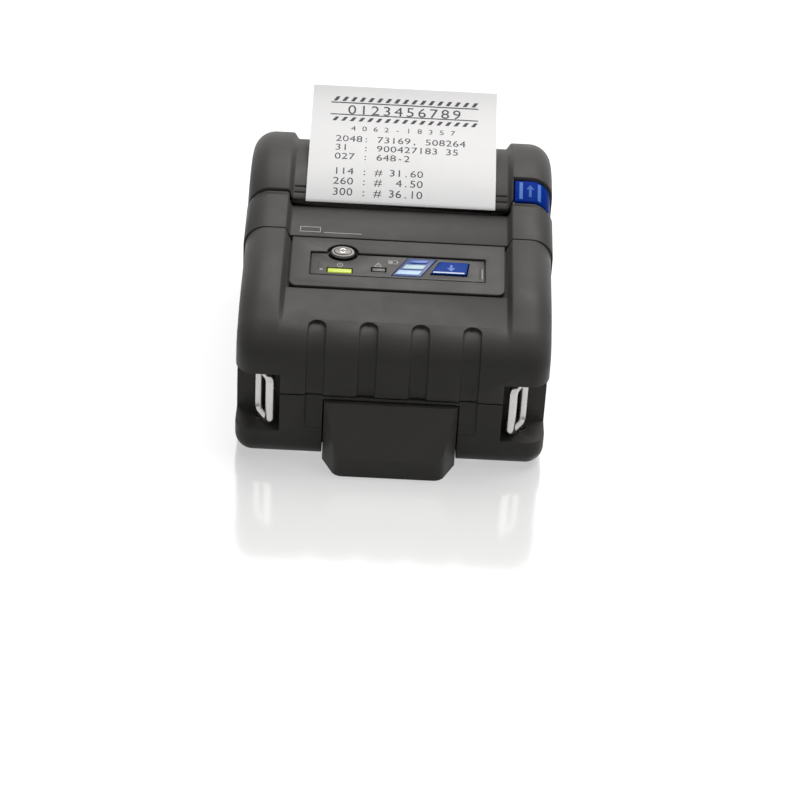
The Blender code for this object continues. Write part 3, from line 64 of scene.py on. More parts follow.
# Sizes read from the frame
front_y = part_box("lower_case")[0][1]
rear_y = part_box("lower_case")[1][1]
case_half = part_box("front_case")[1][0]
band_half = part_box("head_cover")[1][0]
cover_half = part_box("cover_shell")[1][0]
paper_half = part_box("receipt_strip")[1][0]
seam_low_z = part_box("lower_case")[1][2]
seam_high_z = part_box("front_case")[0][2]
seam_front_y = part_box("head_cover")[0][1]
band_rear_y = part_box("head_cover")[1][1]
lip_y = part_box("cover_shell")[0][1]
pack_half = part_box("battery_case")[1][0]
pack_top_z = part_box("battery_case")[1][2]

# Body outline and walls
slot_y = 0.003
slot_z = 0.05275
top_slope = radians(12)
roll_arc_y = 0.0205
roll_arc_z = 0.030
base_fillet = 0.0054
front_fillet = 0.0095
wall = 0.002
top_corner = 0.0066
base_corner = 0.0052
corner_low_z = 0.018
corner_high_z = 0.040
gap = 0.0003
overrun = 0.004
path_half = paper_half + 0.00125
channel_half = path_half + 0.0022
cover_front_y = 0.0033
shoulder_ramp = 0.0018
shoulder_height = 0.0031
shoulder_front_y = -0.050
shoulder_full_y = -0.033
shoulder_back_low_z = 0.032
shoulder_back_high_z = 0.044
band_level = 0.0006
cover_level = 0.0012
rim_z = 0.0303
hinge_z = 0.0303
edge = 0.00022

roll_arc_radius = hypot(slot_y - roll_arc_y, slot_z - roll_arc_z)
fillet_z = slot_z + (-front_fillet + (front_y + front_fillet - slot_y) * sin(top_slope)) / cos(top_slope)
reach = band_half + overrun
far_z = cad_high[2]
far_y = cad_high[1] + overrun
all_x = (-reach, reach)
all_y = (front_y - overrun, far_y)
all_z = (-overrun, far_z)


# Mesh helpers

def make(name, vertices, faces):
    mesh = bpy.data.meshes.new(name)
    bm = bmesh.new()
    corners = [bm.verts.new(v) for v in vertices]
    for face in faces:
        bm.faces.new([corners[i] for i in face])
    bmesh.ops.recalc_face_normals(bm, faces=bm.faces)
    bm.to_mesh(mesh)
    bm.free()
    made = bpy.data.objects.new(name, mesh)
    bpy.context.scene.collection.objects.link(made)
    return made


def walls(a, b, count):
    """Quads between two loops of points whose first points have the numbers a and b."""
    return [(a + k, a + (k + 1) % count, b + (k + 1) % count, b + k) for k in range(count)]


def loft(name, rows, ring=False):
    """Surface through loops of points, capped at both ends or closed into a ring."""
    count = len(rows[0])
    starts = [index * count for index in range(len(rows))]
    faces = [face for a, b in zip(starts, starts[1:]) for face in walls(a, b, count)]
    if ring:
        faces += walls(starts[-1], 0, count)
    else:
        faces += [tuple(range(count)), tuple(range(starts[-1], starts[-1] + count))]
    return make(name, [point for row in rows for point in row], faces)


def prism(name, outline, place, low, high):
    """Closed outline of pairs carried between two heights; place turns (a, b, height) into a point."""
    return loft(name, [[place(a, b, height) for a, b in outline] for height in (low, high)])


def tool(outline, place, low, high):
    return prism("tool", outline, place, low, high)


def along_x(a, b, height):
    return (height, a, b)


def along_z(a, b, height):
    return (a, b, height)


def on_panel(x, down, out):
    """Panel frame: x, distance down the slope from the slot, and height out of the surface."""
    return (x, slot_y - down * cos(top_slope) - out * sin(top_slope),
            slot_z - down * sin(top_slope) + out * cos(top_slope))


def box(x, y, z):
    outline = [(x[0], y[0]), (x[1], y[0]), (x[1], y[1]), (x[0], y[1])]
    return tool(outline, along_z, *z)


def arc(a, b, radius, start, end, count):
    return [(a + radius * cos(start + (end - start) * i / count),
             b + radius * sin(start + (end - start) * i / count)) for i in range(count + 1)]


def oval(a, b, half_a, half_b, count=48):
    return [(a + half_a * cos(2 * pi * i / count), b + half_b * sin(2 * pi * i / count))
            for i in range(count)]


def rod(a, b, radius, place, low, high, count=32):
    """Round tool."""
    return tool(oval(a, b, radius, radius, count), place, low, high)


def between(start, end, count):
    """Points strictly between two ends."""
    return [tuple(p + (q - p) * i / count for p, q in zip(start, end)) for i in range(1, count)]


def smooth(share):
    share = min(max(share, 0.0), 1.0)
    return share * share * (3 - 2 * share)


def cut(target, tools, operation="DIFFERENCE"):
    """Applies every tool to the target with exact Booleans and removes the tools."""
    for cutter in tools:
        modifier = target.modifiers.new("cut", "BOOLEAN")
        modifier.operation = operation
        modifier.solver = "EXACT"
        modifier.object = cutter
    graph = bpy.context.evaluated_depsgraph_get()
    result = bpy.data.meshes.new_from_object(target.evaluated_get(graph))
    target.modifiers.clear()
    target.data = result
    for cutter in tools:
        bpy.data.objects.remove(cutter, do_unlink=True)
    return target


def ease(target, width=edge, segments=2, angle=radians(32)):
    """Rounds the sharp edges, after the slivers that cuts leave are merged away."""
    bm = bmesh.new()
    bm.from_mesh(target.data)
    bmesh.ops.remove_doubles(bm, verts=bm.verts, dist=width / 6)
    bmesh.ops.dissolve_degenerate(bm, edges=bm.edges, dist=width / 6)
    bmesh.ops.dissolve_limit(bm, angle_limit=radians(0.3), verts=bm.verts, edges=bm.edges)
    sharp = [e for e in bm.edges if e.is_manifold and e.calc_face_angle(0) > angle]
    bmesh.ops.bevel(bm, geom=sharp, offset=width, segments=segments, affect="EDGES", profile=0.5,
                    clamp_overlap=False)
    bm.to_mesh(target.data)
    bm.free()
    return target


def shade(target, angle=radians(32)):
    target.data.shade_smooth()
    target.data.set_sharp_from_angle(angle=angle)
    return target


def dress(piece, body, surface, slot, *nodes):
    """Gives a new piece its material, its body and the nodes that it stands for; the slot is not used."""
    piece.data.materials.clear()
    piece.data.materials.append(surface)
    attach(piece, body)
    if nodes:
        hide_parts(*nodes)
    return piece


# Materials

def node(tree, kind, settings=(), **inputs):
    made = tree.nodes.new(kind)
    for name, value in dict(settings).items():
        setattr(made, name, value)
    for name, value in inputs.items():
        made.inputs[name].default_value = value
    return made


def surface(name, colour, roughness, metallic=0.0, **more):
    """Principled material with plain values; the functions below add its texture."""
    made = bpy.data.materials.new(name)
    made.use_nodes = True
    shader = made.node_tree.nodes["Principled BSDF"]
    shader.inputs["Base Color"].default_value = (*colour, 1.0)
    shader.inputs["Roughness"].default_value = roughness
    shader.inputs["Metallic"].default_value = metallic
    for label, value in more.items():
        shader.inputs[label.replace("_", " ")].default_value = value
    return made


def places(tree, stretch=(1, 1, 1)):
    """Object coordinates, stretched along the axes."""
    source = node(tree, "ShaderNodeTexCoord")
    mapping = node(tree, "ShaderNodeMapping", Scale=stretch)
    tree.links.new(source.outputs["Object"], mapping.inputs["Vector"])
    return mapping.outputs["Vector"]


def noise(tree, size, detail=3.0, stretch=(1, 1, 1)):
    """Noise whose patches are about the given size across."""
    made = node(tree, "ShaderNodeTexNoise", Scale=1 / size, Detail=detail, Roughness=0.55)
    tree.links.new(places(tree, stretch), made.inputs["Vector"])
    return made.outputs["Fac"]


def spread(tree, value, low, high, start=0.3, end=0.7):
    made = node(tree, "ShaderNodeMapRange")
    made.inputs["From Min"].default_value = start
    made.inputs["From Max"].default_value = end
    made.inputs["To Min"].default_value = low
    made.inputs["To Max"].default_value = high
    tree.links.new(value, made.inputs["Value"])
    return made.outputs["Result"]


def blend_colour(tree, value, first, second):
    made = node(tree, "ShaderNodeMix", {"data_type": "RGBA"})
    made.inputs[6].default_value = (*first, 1.0)
    made.inputs[7].default_value = (*second, 1.0)
    tree.links.new(value, made.inputs[0])
    return made.outputs[2]


def socket(material, name):
    return material.node_tree.nodes["Principled BSDF"].inputs[name]


def mottle(material, amount, size):
    """Slight light and dark patches in the colour."""
    tree = material.node_tree
    base = socket(material, "Base Color").default_value[:3]
    low = [c * (1 - amount) for c in base]
    high = [min(c * (1 + amount), 1.0) for c in base]
    value = spread(tree, noise(tree, size, 5.0), 0, 1)
    tree.links.new(blend_colour(tree, value, low, high), socket(material, "Base Color"))
    return material


def rub(material, amount, size, stretch=(1, 1, 1)):
    """Patches that are a little glossier or duller."""
    tree = material.node_tree
    base = socket(material, "Roughness").default_value
    value = spread(tree, noise(tree, size, 4.0, stretch), base - amount, base + amount)
    tree.links.new(value, socket(material, "Roughness"))
    return material


def grain(material, size, depth, stretch=(1, 1, 1), detail=2.0):
    """Fine relief of the given size across and depth."""
    tree = material.node_tree
    bump = node(tree, "ShaderNodeBump", Strength=1.0, Distance=depth)
    tree.links.new(noise(tree, size, detail, stretch), bump.inputs["Height"])
    tree.links.new(bump.outputs["Normal"], socket(material, "Normal"))
    return material


def worn(material, colour, share):
    """Edges rubbed towards a lighter colour."""
    tree = material.node_tree
    target = socket(material, "Base Color")
    source = target.links[0].from_socket
    bend = node(tree, "ShaderNodeNewGeometry").outputs["Pointiness"]
    mask = spread(tree, bend, 0, share, 0.52, 0.62)
    made = node(tree, "ShaderNodeMix", {"data_type": "RGBA"})
    made.inputs[7].default_value = (*colour, 1.0)
    tree.links.new(mask, made.inputs[0])
    tree.links.new(source, made.inputs[6])
    tree.links.new(made.outputs[2], target)
    return material


def moulded(name, colour, roughness, relief=0.00003, size=0.00035, **more):
    made = surface(name, colour, roughness, **more)
    return grain(rub(mottle(made, 0.10, 0.012), 0.06, 0.006), size, relief)


def metal(name, colour, roughness, stretch=(1, 1, 1), size=0.0004, depth=0.000004):
    made = surface(name, colour, roughness, 1.0)
    return grain(rub(mottle(made, 0.06, 0.004), 0.06, 0.0012, stretch), size, depth, stretch)


def glowing(name, colour, strength, base=None, roughness=0.3):
    return surface(name, base or colour, roughness, Emission_Color=(*colour, 1.0), Emission_Strength=strength)


charcoal = worn(moulded("charcoal_moulded", (0.054, 0.052, 0.049), 0.50, Specular_IOR_Level=0.24),
                (0.10, 0.096, 0.09), 0.5)
case_inside = moulded("charcoal_inside", (0.040, 0.039, 0.038), 0.60, Specular_IOR_Level=0.25)
plate_satin = worn(moulded("plate_satin", (0.060, 0.057, 0.055), 0.46, 0.00002, Specular_IOR_Level=0.25),
                   (0.11, 0.105, 0.10), 0.5)
inlay_satin = moulded("inlay_satin", (0.060, 0.057, 0.054), 0.42, 0.000008, Specular_IOR_Level=0.3)
lever_gloss = moulded("lever_blue", (0.003, 0.034, 0.32), 0.30, 0.000008, Specular_IOR_Level=0.02)
# Pale blue strips on the lever's top: painted highlights standing in for reflections on its glossy facets.
lever_highlight_paint = moulded("lever_painted_highlight", (0.10, 0.24, 0.66), 0.30, 0.000008, Specular_IOR_Level=0.10)
lever_relief = moulded("lever_relief", (0.05, 0.16, 0.54), 0.30, 0.000008, Specular_IOR_Level=0.10)
feed_gloss = moulded("feed_blue", (0.006, 0.055, 0.36), 0.26, 0.000006, Specular_IOR_Level=0.05)
# Pale blue of the strip along the feed key's lower edge: a painted highlight.
feed_painted_highlight = moulded("feed_painted_highlight", (0.62, 0.72, 0.92), 0.34, 0.000006)
feed_mark = moulded("feed_mark", (0.04, 0.14, 0.55), 0.34, 0.000006)
# Near-black for flat bars on the inlay: painted shade where grooves would be.
groove_painted_shade = moulded("groove_painted_shade", (0.012, 0.012, 0.012), 0.6, 0.000006)
button_gloss = rub(surface("button_dark", (0.010, 0.010, 0.011), 0.18, 0.1, Coat_Weight=0.6), 0.05, 0.002)
button_metal = rub(surface("button_metal", (0.085, 0.08, 0.075), 0.26, 0.85), 0.08, 0.0016)
# Light metal for two arcs on the power key cap: painted highlights standing in for glints on the dome.
button_painted_glint = rub(surface("button_painted_glint", (0.36, 0.35, 0.34), 0.24, 0.85), 0.08, 0.0016)
legend = mottle(surface("legend_print", (0.42, 0.42, 0.41), 0.55), 0.08, 0.002)
green_glow = glowing("lamp_green", (0.46, 0.56, 0.02), 0.75, (0.30, 0.36, 0.04))
dim_lamp = mottle(surface("lamp_dark", (0.055, 0.048, 0.044), 0.30), 0.2, 0.001)
gauge_tint = glowing("gauge_blue", (0.02, 0.06, 0.26), 0.40, (0.03, 0.05, 0.14))
bar_white = glowing("gauge_bar_white", (0.36, 0.55, 0.80), 0.55, (0.30, 0.38, 0.50))
bar_green = glowing("gauge_bar_green", (0.36, 0.56, 0.62), 0.50, (0.30, 0.38, 0.42))
bar_blue = glowing("gauge_bar_blue", (0.05, 0.12, 0.48), 0.45, (0.06, 0.10, 0.30))
ring_satin = metal("ring_steel", (0.50, 0.49, 0.48), 0.22, (1, 1, 0.15))
# Tear bar steel made near white and barely metallic: a painted highlight for the slot edge lit from the
# front.
tooth_steel_painted_highlight = rub(mottle(surface("tooth_steel_painted_highlight", (0.88, 0.88, 0.87), 0.34, 0.12), 0.05, 0.002), 0.06, 0.002)
screw_metal = metal("screw_steel", (0.30, 0.30, 0.31), 0.34)
sheet_metal = metal("frame_steel", (0.60, 0.60, 0.58), 0.38, (0.15, 1, 1))
spring_metal = metal("spring_steel", (0.55, 0.54, 0.52), 0.30)
aluminium = metal("sink_aluminium", (0.74, 0.75, 0.76), 0.42, (0.1, 1, 1))
brass_metal = metal("brass", (0.66, 0.48, 0.18), 0.32)
ceramic = rub(mottle(surface("head_ceramic", (0.62, 0.58, 0.50), 0.28), 0.06, 0.003), 0.06, 0.002)
nylon = moulded("gear_white", (0.74, 0.73, 0.68), 0.42, 0.000006)
rubber = moulded("rubber_black", (0.018, 0.018, 0.019), 0.72, 0.00002)
paper = grain(mottle(surface("paper", (0.93, 0.93, 0.94), 0.62), 0.02, 0.01), 0.0004, 0.000008)
card = grain(mottle(surface("card", (0.42, 0.30, 0.19), 0.75), 0.12, 0.004), 0.0006, 0.00004, (1, 1, 0.2))
ink = mottle(surface("print_ink", (0.045, 0.045, 0.055), 0.70), 0.35, 0.0006)
wrap = moulded("cell_wrap", (0.05, 0.22, 0.10), 0.35, 0.000004)


def layered(name, colour, line_colour, size):
    """Board or roll: fine parallel lines of a second colour."""
    made = rub(surface(name, colour, 0.45), 0.08, 0.003)
    tree = made.node_tree
    wave = node(tree, "ShaderNodeTexWave", {"wave_type": "BANDS", "bands_direction": "DIAGONAL"},
                Scale=1 / size, Distortion=6.0, Detail=2.0)
    tree.links.new(places(tree), wave.inputs["Vector"])
    mask = spread(tree, wave.outputs["Fac"], 0, 1, 0.72, 0.80)
    tree.links.new(blend_colour(tree, mask, colour, line_colour), socket(made, "Base Color"))
    return made


board = layered("board_green", (0.012, 0.13, 0.055), (0.03, 0.22, 0.10), 0.004)


def roll_surface():
    """Paper roll: fine rings round its axis on the ends, plain on the outside."""
    made = surface("paper_roll", (0.78, 0.79, 0.81), 0.65)
    tree = made.node_tree
    low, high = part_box("paper_roll")
    source = node(tree, "ShaderNodeTexCoord")
    shift = node(tree, "ShaderNodeMapping",
                 Location=(0, -(low[1] + high[1]) / 2, -(low[2] + high[2]) / 2), Scale=(0, 1, 1))
    tree.links.new(source.outputs["Object"], shift.inputs["Vector"])
    length = node(tree, "ShaderNodeVectorMath", {"operation": "LENGTH"})
    tree.links.new(shift.outputs["Vector"], length.inputs[0])
    flat = node(tree, "ShaderNodeCombineXYZ")
    tree.links.new(length.outputs["Value"], flat.inputs["X"])
    rings = node(tree, "ShaderNodeTexNoise", Scale=2600.0, Detail=2.0)
    tree.links.new(flat.outputs["Vector"], rings.inputs["Vector"])
    mask = spread(tree, rings.outputs["Fac"], 0, 1)
    colour = blend_colour(tree, mask, (0.66, 0.67, 0.69), (0.84, 0.85, 0.87))
    tree.links.new(colour, socket(made, "Base Color"))
    return made


# Materials of the nodes that stay

node_finish = (
    # Tear bar: steel painted near white, a painted highlight for the lit slot edge.
    (tooth_steel_painted_highlight, "tear_bar"),
    (rubber, "platen_roller charge_jack interface_flap"),
    (nylon, "platen_gear reduction_gear"),
    (brass_metal, "motor_pinion platen_bush_left platen_bush_right battery_contact"),
    (sheet_metal, "platen_shaft stepper_motor mech_frame latch_bar power_switch feed_switch serial_port"),
    (spring_metal, "latch_spring head_spring_left head_spring_right hinge_pin flap_pin"),
    (case_inside, "platen_holder battery_lid roll_bucket"),
    (charcoal, "battery_case"),
    (ceramic, "head_ceramic"),
    (aluminium, "head_heatsink"),
    (board, "panel_board main_board"),
    (wrap, "battery_cell_1 battery_cell_2"),
    (inlay_satin, "paper_sensor"),
    (card, "roll_core"),
    (roll_surface(), "paper_roll"),
    (paper, "paper_web"),
    (screw_metal, "case_screw_1 case_screw_2 case_screw_3 case_screw_4"),
)
rounded_nodes = "interface_flap battery_lid platen_holder mech_frame head_heatsink roll_bucket battery_case"


def finish_nodes():
    for finish, names in node_finish:
        for name in names.split():
            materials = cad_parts[name].data.materials
            materials.clear()
            materials.append(finish)
    for name in rounded_nodes.split():
        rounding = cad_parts[name].modifiers.new("edges", "BEVEL")
        rounding.width = edge
        rounding.segments = 2
        rounding.limit_method = "ANGLE"
        rounding.angle_limit = radians(40)


# Shells

def body_outline():
    """Stations of the closed outline as (y, z, normal y, normal z), clockwise seen from +X."""
    start = atan2(slot_z - roll_arc_z, slot_y - roll_arc_y)
    points = arc(front_y + base_fillet, base_fillet, base_fillet, -pi / 2, -pi, 10)
    points += between(points[-1], (front_y, fillet_z), 8)
    points += arc(front_y + front_fillet, fillet_z, front_fillet, pi, pi / 2 + top_slope, 18)
    points += between(points[-1], (slot_y, slot_z), 24)
    points += arc(roll_arc_y, roll_arc_z, roll_arc_radius, start, 0, 48)
    points += between(points[-1], (rear_y, base_fillet), 6)
    points += arc(rear_y - base_fillet, base_fillet, base_fillet, 0, -pi / 2, 10)
    stations = []
    for index, (y, z) in enumerate(points):
        before = points[index - 1]
        after = points[(index + 1) % len(points)]
        into = Vector((y - before[0], z - before[1])).normalized()
        out_of = Vector((after[0] - y, after[1] - z)).normalized()
        run = (into + out_of).normalized()
        stations.append((y, z, -run.y, run.x))
    return stations


def shoulder_rise(y, z):
    """Share of the full shoulder height at a station."""
    if z < seam_low_z:
        return 0.0
    front = smooth((y - shoulder_front_y) / (shoulder_full_y - shoulder_front_y))
    back = smooth((z - shoulder_back_low_z) / (shoulder_back_high_z - shoulder_back_low_z))
    return min(front, back) if y > roll_arc_y else front


def corner_radius(z):
    share = smooth((z - corner_low_z) / (corner_high_z - corner_low_z))
    return base_corner + (top_corner - base_corner) * share


def body_solid(name, half_width, level, inset=0.0, ramp_steps=8, corner_steps=12):
    """Full body with its centre channel at the given level, drawn in by the inset all round."""
    rows = []
    for y, z, normal_y, normal_z in body_outline():
        rise = shoulder_rise(y, z)
        centre = level * rise if z > rim_z - wall and y > shoulder_front_y else 0.0
        top = centre + (shoulder_height - centre) * rise
        radius = corner_radius(z) - inset
        profile = [(0.0, centre)]
        for step in range(ramp_steps + 1):
            share = step / ramp_steps
            profile.append((channel_half + shoulder_ramp * share, centre + (top - centre) * smooth(share)))
        for step in range(corner_steps + 1):
            angle = pi / 2 * step / corner_steps
            profile.append((half_width - inset - radius + radius * sin(angle),
                            top - radius * (1 - cos(angle))))
        across = [(-x, out) for x, out in reversed(profile[1:])] + profile
        rows.append([(x, y + normal_y * (out - inset), z + normal_z * (out - inset)) for x, out in across])
    count, width = len(rows), len(rows[0])
    faces = []
    for i in range(count):
        j = (i + 1) % count
        faces += [(i * width + k, i * width + k + 1, j * width + k + 1, j * width + k)
                  for k in range(width - 1)]
    faces.append(tuple(i * width for i in range(count)))
    faces.append(tuple(i * width + width - 1 for i in range(count)))
    return make(name, [v for row in rows for v in row], faces)


# Front and lower case

bay_half = pack_half + gap
bay_wall = 0.002
pack_rear_y = -0.0036
recess_inner_x = case_half - 0.0128
recess_rear_y = -0.0405
recess_low_z = 0.0093
recess_high_z = 0.0283
ring_low_z, ring_high_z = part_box("strap_ring_left")[0][2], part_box("strap_ring_left")[1][2]
ring_pivot_x = case_half - 0.0068
ring_pivot_y = -0.0442
ring_free_x = case_half - 0.0101
ring_free_y = -0.0500
ring_hole_radius = 0.0014
screw_head_radius = 0.0024
screw_head_top_z = 0.0026
screw_shaft_radius = 0.0011
boss_half = 0.0030
boss_top_z = 0.0295
pocket_floor_x = case_half - 0.0083
pocket_wall = 0.0020
flute_half = 0.0026
flute_pitch = 0.0145
flute_depth = 0.0012
flute_end_share = 0.12
flute_floor_power = 0.3
flute_end_z = 0.0110
flute_full_z = 0.0300
flute_places = [flute_pitch * share for share in (-1.5, -0.5, 0.5, 1.5)]
plate_end = 0.0357
pocket_depth = 0.0008
band_length = (slot_y - seam_front_y) / cos(top_slope)
screw_places = [(obj_low[0] + screw_head_radius, obj_low[1] + screw_head_radius) for obj_low in
                (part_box("case_screw_%d" % number)[0] for number in (1, 2, 3, 4))]


def front_path(step):
    """Points down the front from the top of the front fillet, as (y, z, normal y, normal z, run)."""
    sweep = pi / 2 - top_slope
    count = ceil(front_fillet * sweep / step)
    points = []
    for index in range(count + 1):
        angle = pi / 2 + top_slope + sweep * index / count
        points.append((front_y + front_fillet + front_fillet * cos(angle),
                       fillet_z + front_fillet * sin(angle), cos(angle), sin(angle),
                       front_fillet * sweep * index / count))
    run = points[-1][4]
    points += [(front_y, z, -1.0, 0.0, run + fillet_z - z) for y, z in
               between((front_y, fillet_z), (front_y, flute_end_z), 6)]
    points.append((front_y, flute_end_z, -1.0, 0.0, run + fillet_z - flute_end_z))
    return points


def flute_cutter(x):
    """Groove with a rounded floor and a round upper end, which follows the front fillet."""
    step = flute_half / 9
    sides = 10
    rows = []
    for y, z, normal_y, normal_z, run in front_path(step):
        half = flute_half
        if run < flute_half:
            half = sqrt(max(flute_half ** 2 - (flute_half - run) ** 2, (step / 2) ** 2))
        full = smooth((z - flute_end_z) / (flute_full_z - flute_end_z))
        fade = flute_end_share + (1 - flute_end_share) * full
        row = []
        for k in range(sides + 1):
            angle = pi * k / sides
            dip = -flute_depth * fade * sin(angle) ** flute_floor_power
            row.append((x - half * cos(angle), y + normal_y * dip, z + normal_z * dip))
        for beside in (half, -half):
            row.append((x + beside, y + normal_y * overrun / 2, z + normal_z * overrun / 2))
        rows.append(row)
    last = (len(rows) - 1) * len(row)
    faces = [tuple(range(len(row))), tuple(range(last, last + len(row)))]
    for first in range(0, last, len(row)):
        faces += walls(first, first + len(row), len(row))
    return make("flute", [point for row in rows for point in row], faces)


def both_sides(inner, outer, y, z):
    return [box(tuple(sorted((side * inner, side * outer))), y, z) for side in (-1, 1)]


def corner_cutters():
    """Strap recesses and the holes that the rings turn in, common to both halves of the case."""
    tools = both_sides(recess_inner_x, case_half + overrun, (front_y - overrun, recess_rear_y),
                       (recess_low_z, recess_high_z))
    tools += [rod(side * ring_pivot_x, ring_pivot_y, ring_hole_radius, along_z, ring_low_z - gap,
                  ring_high_z + gap) for side in (-1, 1)]
    tools += [rod(x, y, screw_shaft_radius + gap, along_z, 0, boss_top_z - wall, 24) for x, y in screw_places]
    return tools


def corner_blocks():
    return both_sides(recess_inner_x - wall, case_half - wall / 2, (front_y + wall / 2, recess_rear_y + wall),
                      (recess_low_z - wall, recess_high_z + wall))


def make_lower_case():
    case = body_solid("lower_housing", case_half, band_level)
    cavity = body_solid("cavity", case_half, band_level, wall)
    flap_low, flap_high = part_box("interface_flap")
    solids = corner_blocks()
    solids.append(box((-bay_half - bay_wall, bay_half + bay_wall), (front_y, pack_rear_y + bay_wall),
                      (0, seam_low_z)))
    solids += [box((x - boss_half, x + boss_half), (y - boss_half, y + boss_half), (0, seam_low_z))
               for x, y in screw_places]
    solids.append(box((-case_half + wall / 2, -pocket_floor_x + pocket_wall),
                      (flap_low[1] - pocket_wall, flap_high[1] + pocket_wall),
                      (flap_low[2] - pocket_wall, seam_low_z)))
    cut(cavity, solids)
    tools = [box(all_x, all_y, (seam_low_z, far_z)), cavity]
    tools += corner_cutters()
    tools.append(box((-bay_half, bay_half), (front_y - overrun, pack_rear_y + gap),
                     (-overrun, pack_top_z + gap)))
    tools += [rod(x, y, screw_head_radius + gap, along_z, -overrun, screw_head_top_z + gap)
              for x, y in screw_places]
    tools.append(box((-case_half - overrun, -pocket_floor_x), (flap_low[1] - gap, flap_high[1] + gap),
                     (flap_low[2] - gap, flap_high[2] + gap)))
    socket_x = (-pocket_floor_x - overrun, -pocket_floor_x + pocket_wall + overrun)
    jack_low, jack_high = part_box("charge_jack")
    tools.append(rod((jack_low[1] + jack_high[1]) / 2, (jack_low[2] + jack_high[2]) / 2,
                     (jack_high[1] - jack_low[1]) / 2 + gap, along_x, *socket_x))
    port_low, port_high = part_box("serial_port")
    tools.append(box(socket_x, (port_low[1] - gap, port_high[1] + gap),
                     (port_low[2] - gap, port_high[2] + gap)))
    tools += [flute_cutter(x) for x in (flute_places[0], flute_places[-1])]
    cut(case, tools)
    return dress(shade(ease(case)), "root", charcoal, "case_plastic", "lower_case")


# Panel: the lamps and the gauge have their x, distance down, half width and half height
power_x = -0.0159
power_down = 0.0213
power_half_x = 0.0037
power_half_down = 0.0026
power_rim_x = 0.0008
power_rim_down = 0.0006
power_rim_drop = 0.0002
power_crown = 0.0007
cap_inset_x = 0.0009
cap_inset_down = 0.0008
cap_crown = 0.0006
cap_mark_times = 4
# Radius, width and end gaps of the two painted glint arcs on the power key cap.
glint_radius = 0.0008
glint_width = 0.0003
glint_gap_angle = 0.5
power_lamp = (-0.0165, 0.0285, 0.0034, 0.0008)
error_lamp = (-0.0054, 0.0274, 0.0019, 0.0007)
gauge = (0.0047, 0.0259, 0.0040, 0.0036)
gauge_high = 0.0004
gauge_bar_high = 0.0003
gauge_bar_shares = ((-0.375, 0.667, 0.825, 0.222), (0.0, 0.0, 0.725, 0.222), (0.375, -0.64, 0.60, 0.153))
slant_share = 0.60
feed_x = 0.0155
feed_down = 0.0258
feed_top_half = 0.0041
feed_half_down = 0.0025
feed_skew = 0.0033
feed_high = 0.0008
feed_crown = 0.0003
# Width and overhang of the painted highlight along the feed key's lower edge.
feed_painted_highlight_width = 0.0005
feed_painted_highlight_reach = 0.0012
lamp_high = 0.0003
lamp_edge = 0.0002
fine_edge = 0.00008
button_proud = 0.0012
key_low = -0.0016


def slanted(x, down, half_x, half_down):
    lean = half_down * slant_share
    return [(x - half_x - lean, down + half_down), (x + half_x - lean, down + half_down),
            (x + half_x + lean, down - half_down), (x - half_x + lean, down - half_down)]


def straight(x, down, half_x, half_down):
    return [(x - half_x, down + half_down), (x + half_x, down + half_down),
            (x + half_x, down - half_down), (x - half_x, down - half_down)]


def grown(place, by):
    x, down, half_x, half_down = place
    return (x, down, half_x + by, half_down + by)


def feed_outline(grow=0.0):
    top = feed_down - feed_half_down - grow
    bottom = feed_down + feed_half_down + grow
    return [(feed_x - feed_top_half - feed_skew + feed_top_half / 3 - grow, bottom),
            (feed_x + feed_top_half + grow, bottom),
            (feed_x + feed_top_half + feed_top_half / 6 + grow, top),
            (feed_x - feed_top_half + feed_top_half / 6 - grow, top)]


def power_outline(grow_x, grow_down, count=48):
    return oval(power_x, power_down, power_half_x + grow_x, power_half_down + grow_down, count)


def panel_holes(low, high):
    shapes = [straight(*grown(power_lamp, gap)), straight(*grown(error_lamp, gap)),
              slanted(*grown(gauge, gap)), feed_outline(gap)]
    return [tool(shape, on_panel, low, high) for shape in shapes]


# Hinge
knuckle_radius = 0.0023
hinge_bore_radius = 0.0013
cover_knuckles = [(-0.0180, -0.0100), (0.0100, 0.0180)]
case_knuckles = [(-0.0232, -0.0184), (-0.0096, 0.0096), (0.0184, 0.0232)]


def knuckle(start, end, side):
    """Barrel round the hinge axis with a web to its own wall."""
    web = box((start, end), (rear_y - wall, rear_y - wall / 4),
              tuple(sorted((hinge_z, hinge_z + side * wall * 2))))
    return cut(rod(rear_y, hinge_z, knuckle_radius, along_x, start, end, 40), [web], "UNION")


def hinge_bore():
    return rod(rear_y, hinge_z, hinge_bore_radius, along_x, *all_x, 24)


def knuckle_gaps(spans):
    return [rod(rear_y, hinge_z, knuckle_radius + gap, along_x, start - gap, end + gap, 40)
            for start, end in spans]


def make_front_case():
    case = body_solid("front_housing", case_half, 0.0)
    cavity = body_solid("cavity", case_half, 0.0, wall)
    solids = corner_blocks()
    for x, y in screw_places:
        grow = wall * 3 if y > 0 else 0
        front = wall * 2 if y < 0 else 0
        solids.append(box((x - boss_half - (grow if x < 0 else 0), x + boss_half + (grow if x > 0 else 0)),
                          (y - boss_half - front, y + boss_half), (seam_high_z, boss_top_z)))
    cut(cavity, solids)
    tools = [box(all_x, all_y, (-overrun, seam_high_z)),
             box(all_x, (seam_front_y - gap, far_y), (rim_z, far_z)), cavity]
    tools += corner_cutters()
    seat = straight(0, (band_length + plate_end) / 2 - overrun, channel_half,
                    (plate_end - band_length) / 2 + overrun + gap)
    tools.append(tool(seat, on_panel, -pocket_depth, overrun))
    tools += panel_holes(-wall * 2, overrun)
    tools.append(tool(power_outline(gap, gap), on_panel, -wall * 2, overrun))
    tools += [flute_cutter(x) for x in flute_places]
    tools += knuckle_gaps(cover_knuckles)
    cut(case, tools)
    cut(case, [knuckle(start, end, -1) for start, end in case_knuckles], "UNION")
    cut(case, [hinge_bore()])
    return dress(shade(ease(case)), "root", charcoal, "case_plastic", "front_case")


slot_half = path_half + 0.0034
band_centre_y = 0.0006
bar_half = path_half + 0.0020
flange_depth = 0.0012
bar_flange_low_z = 0.0488


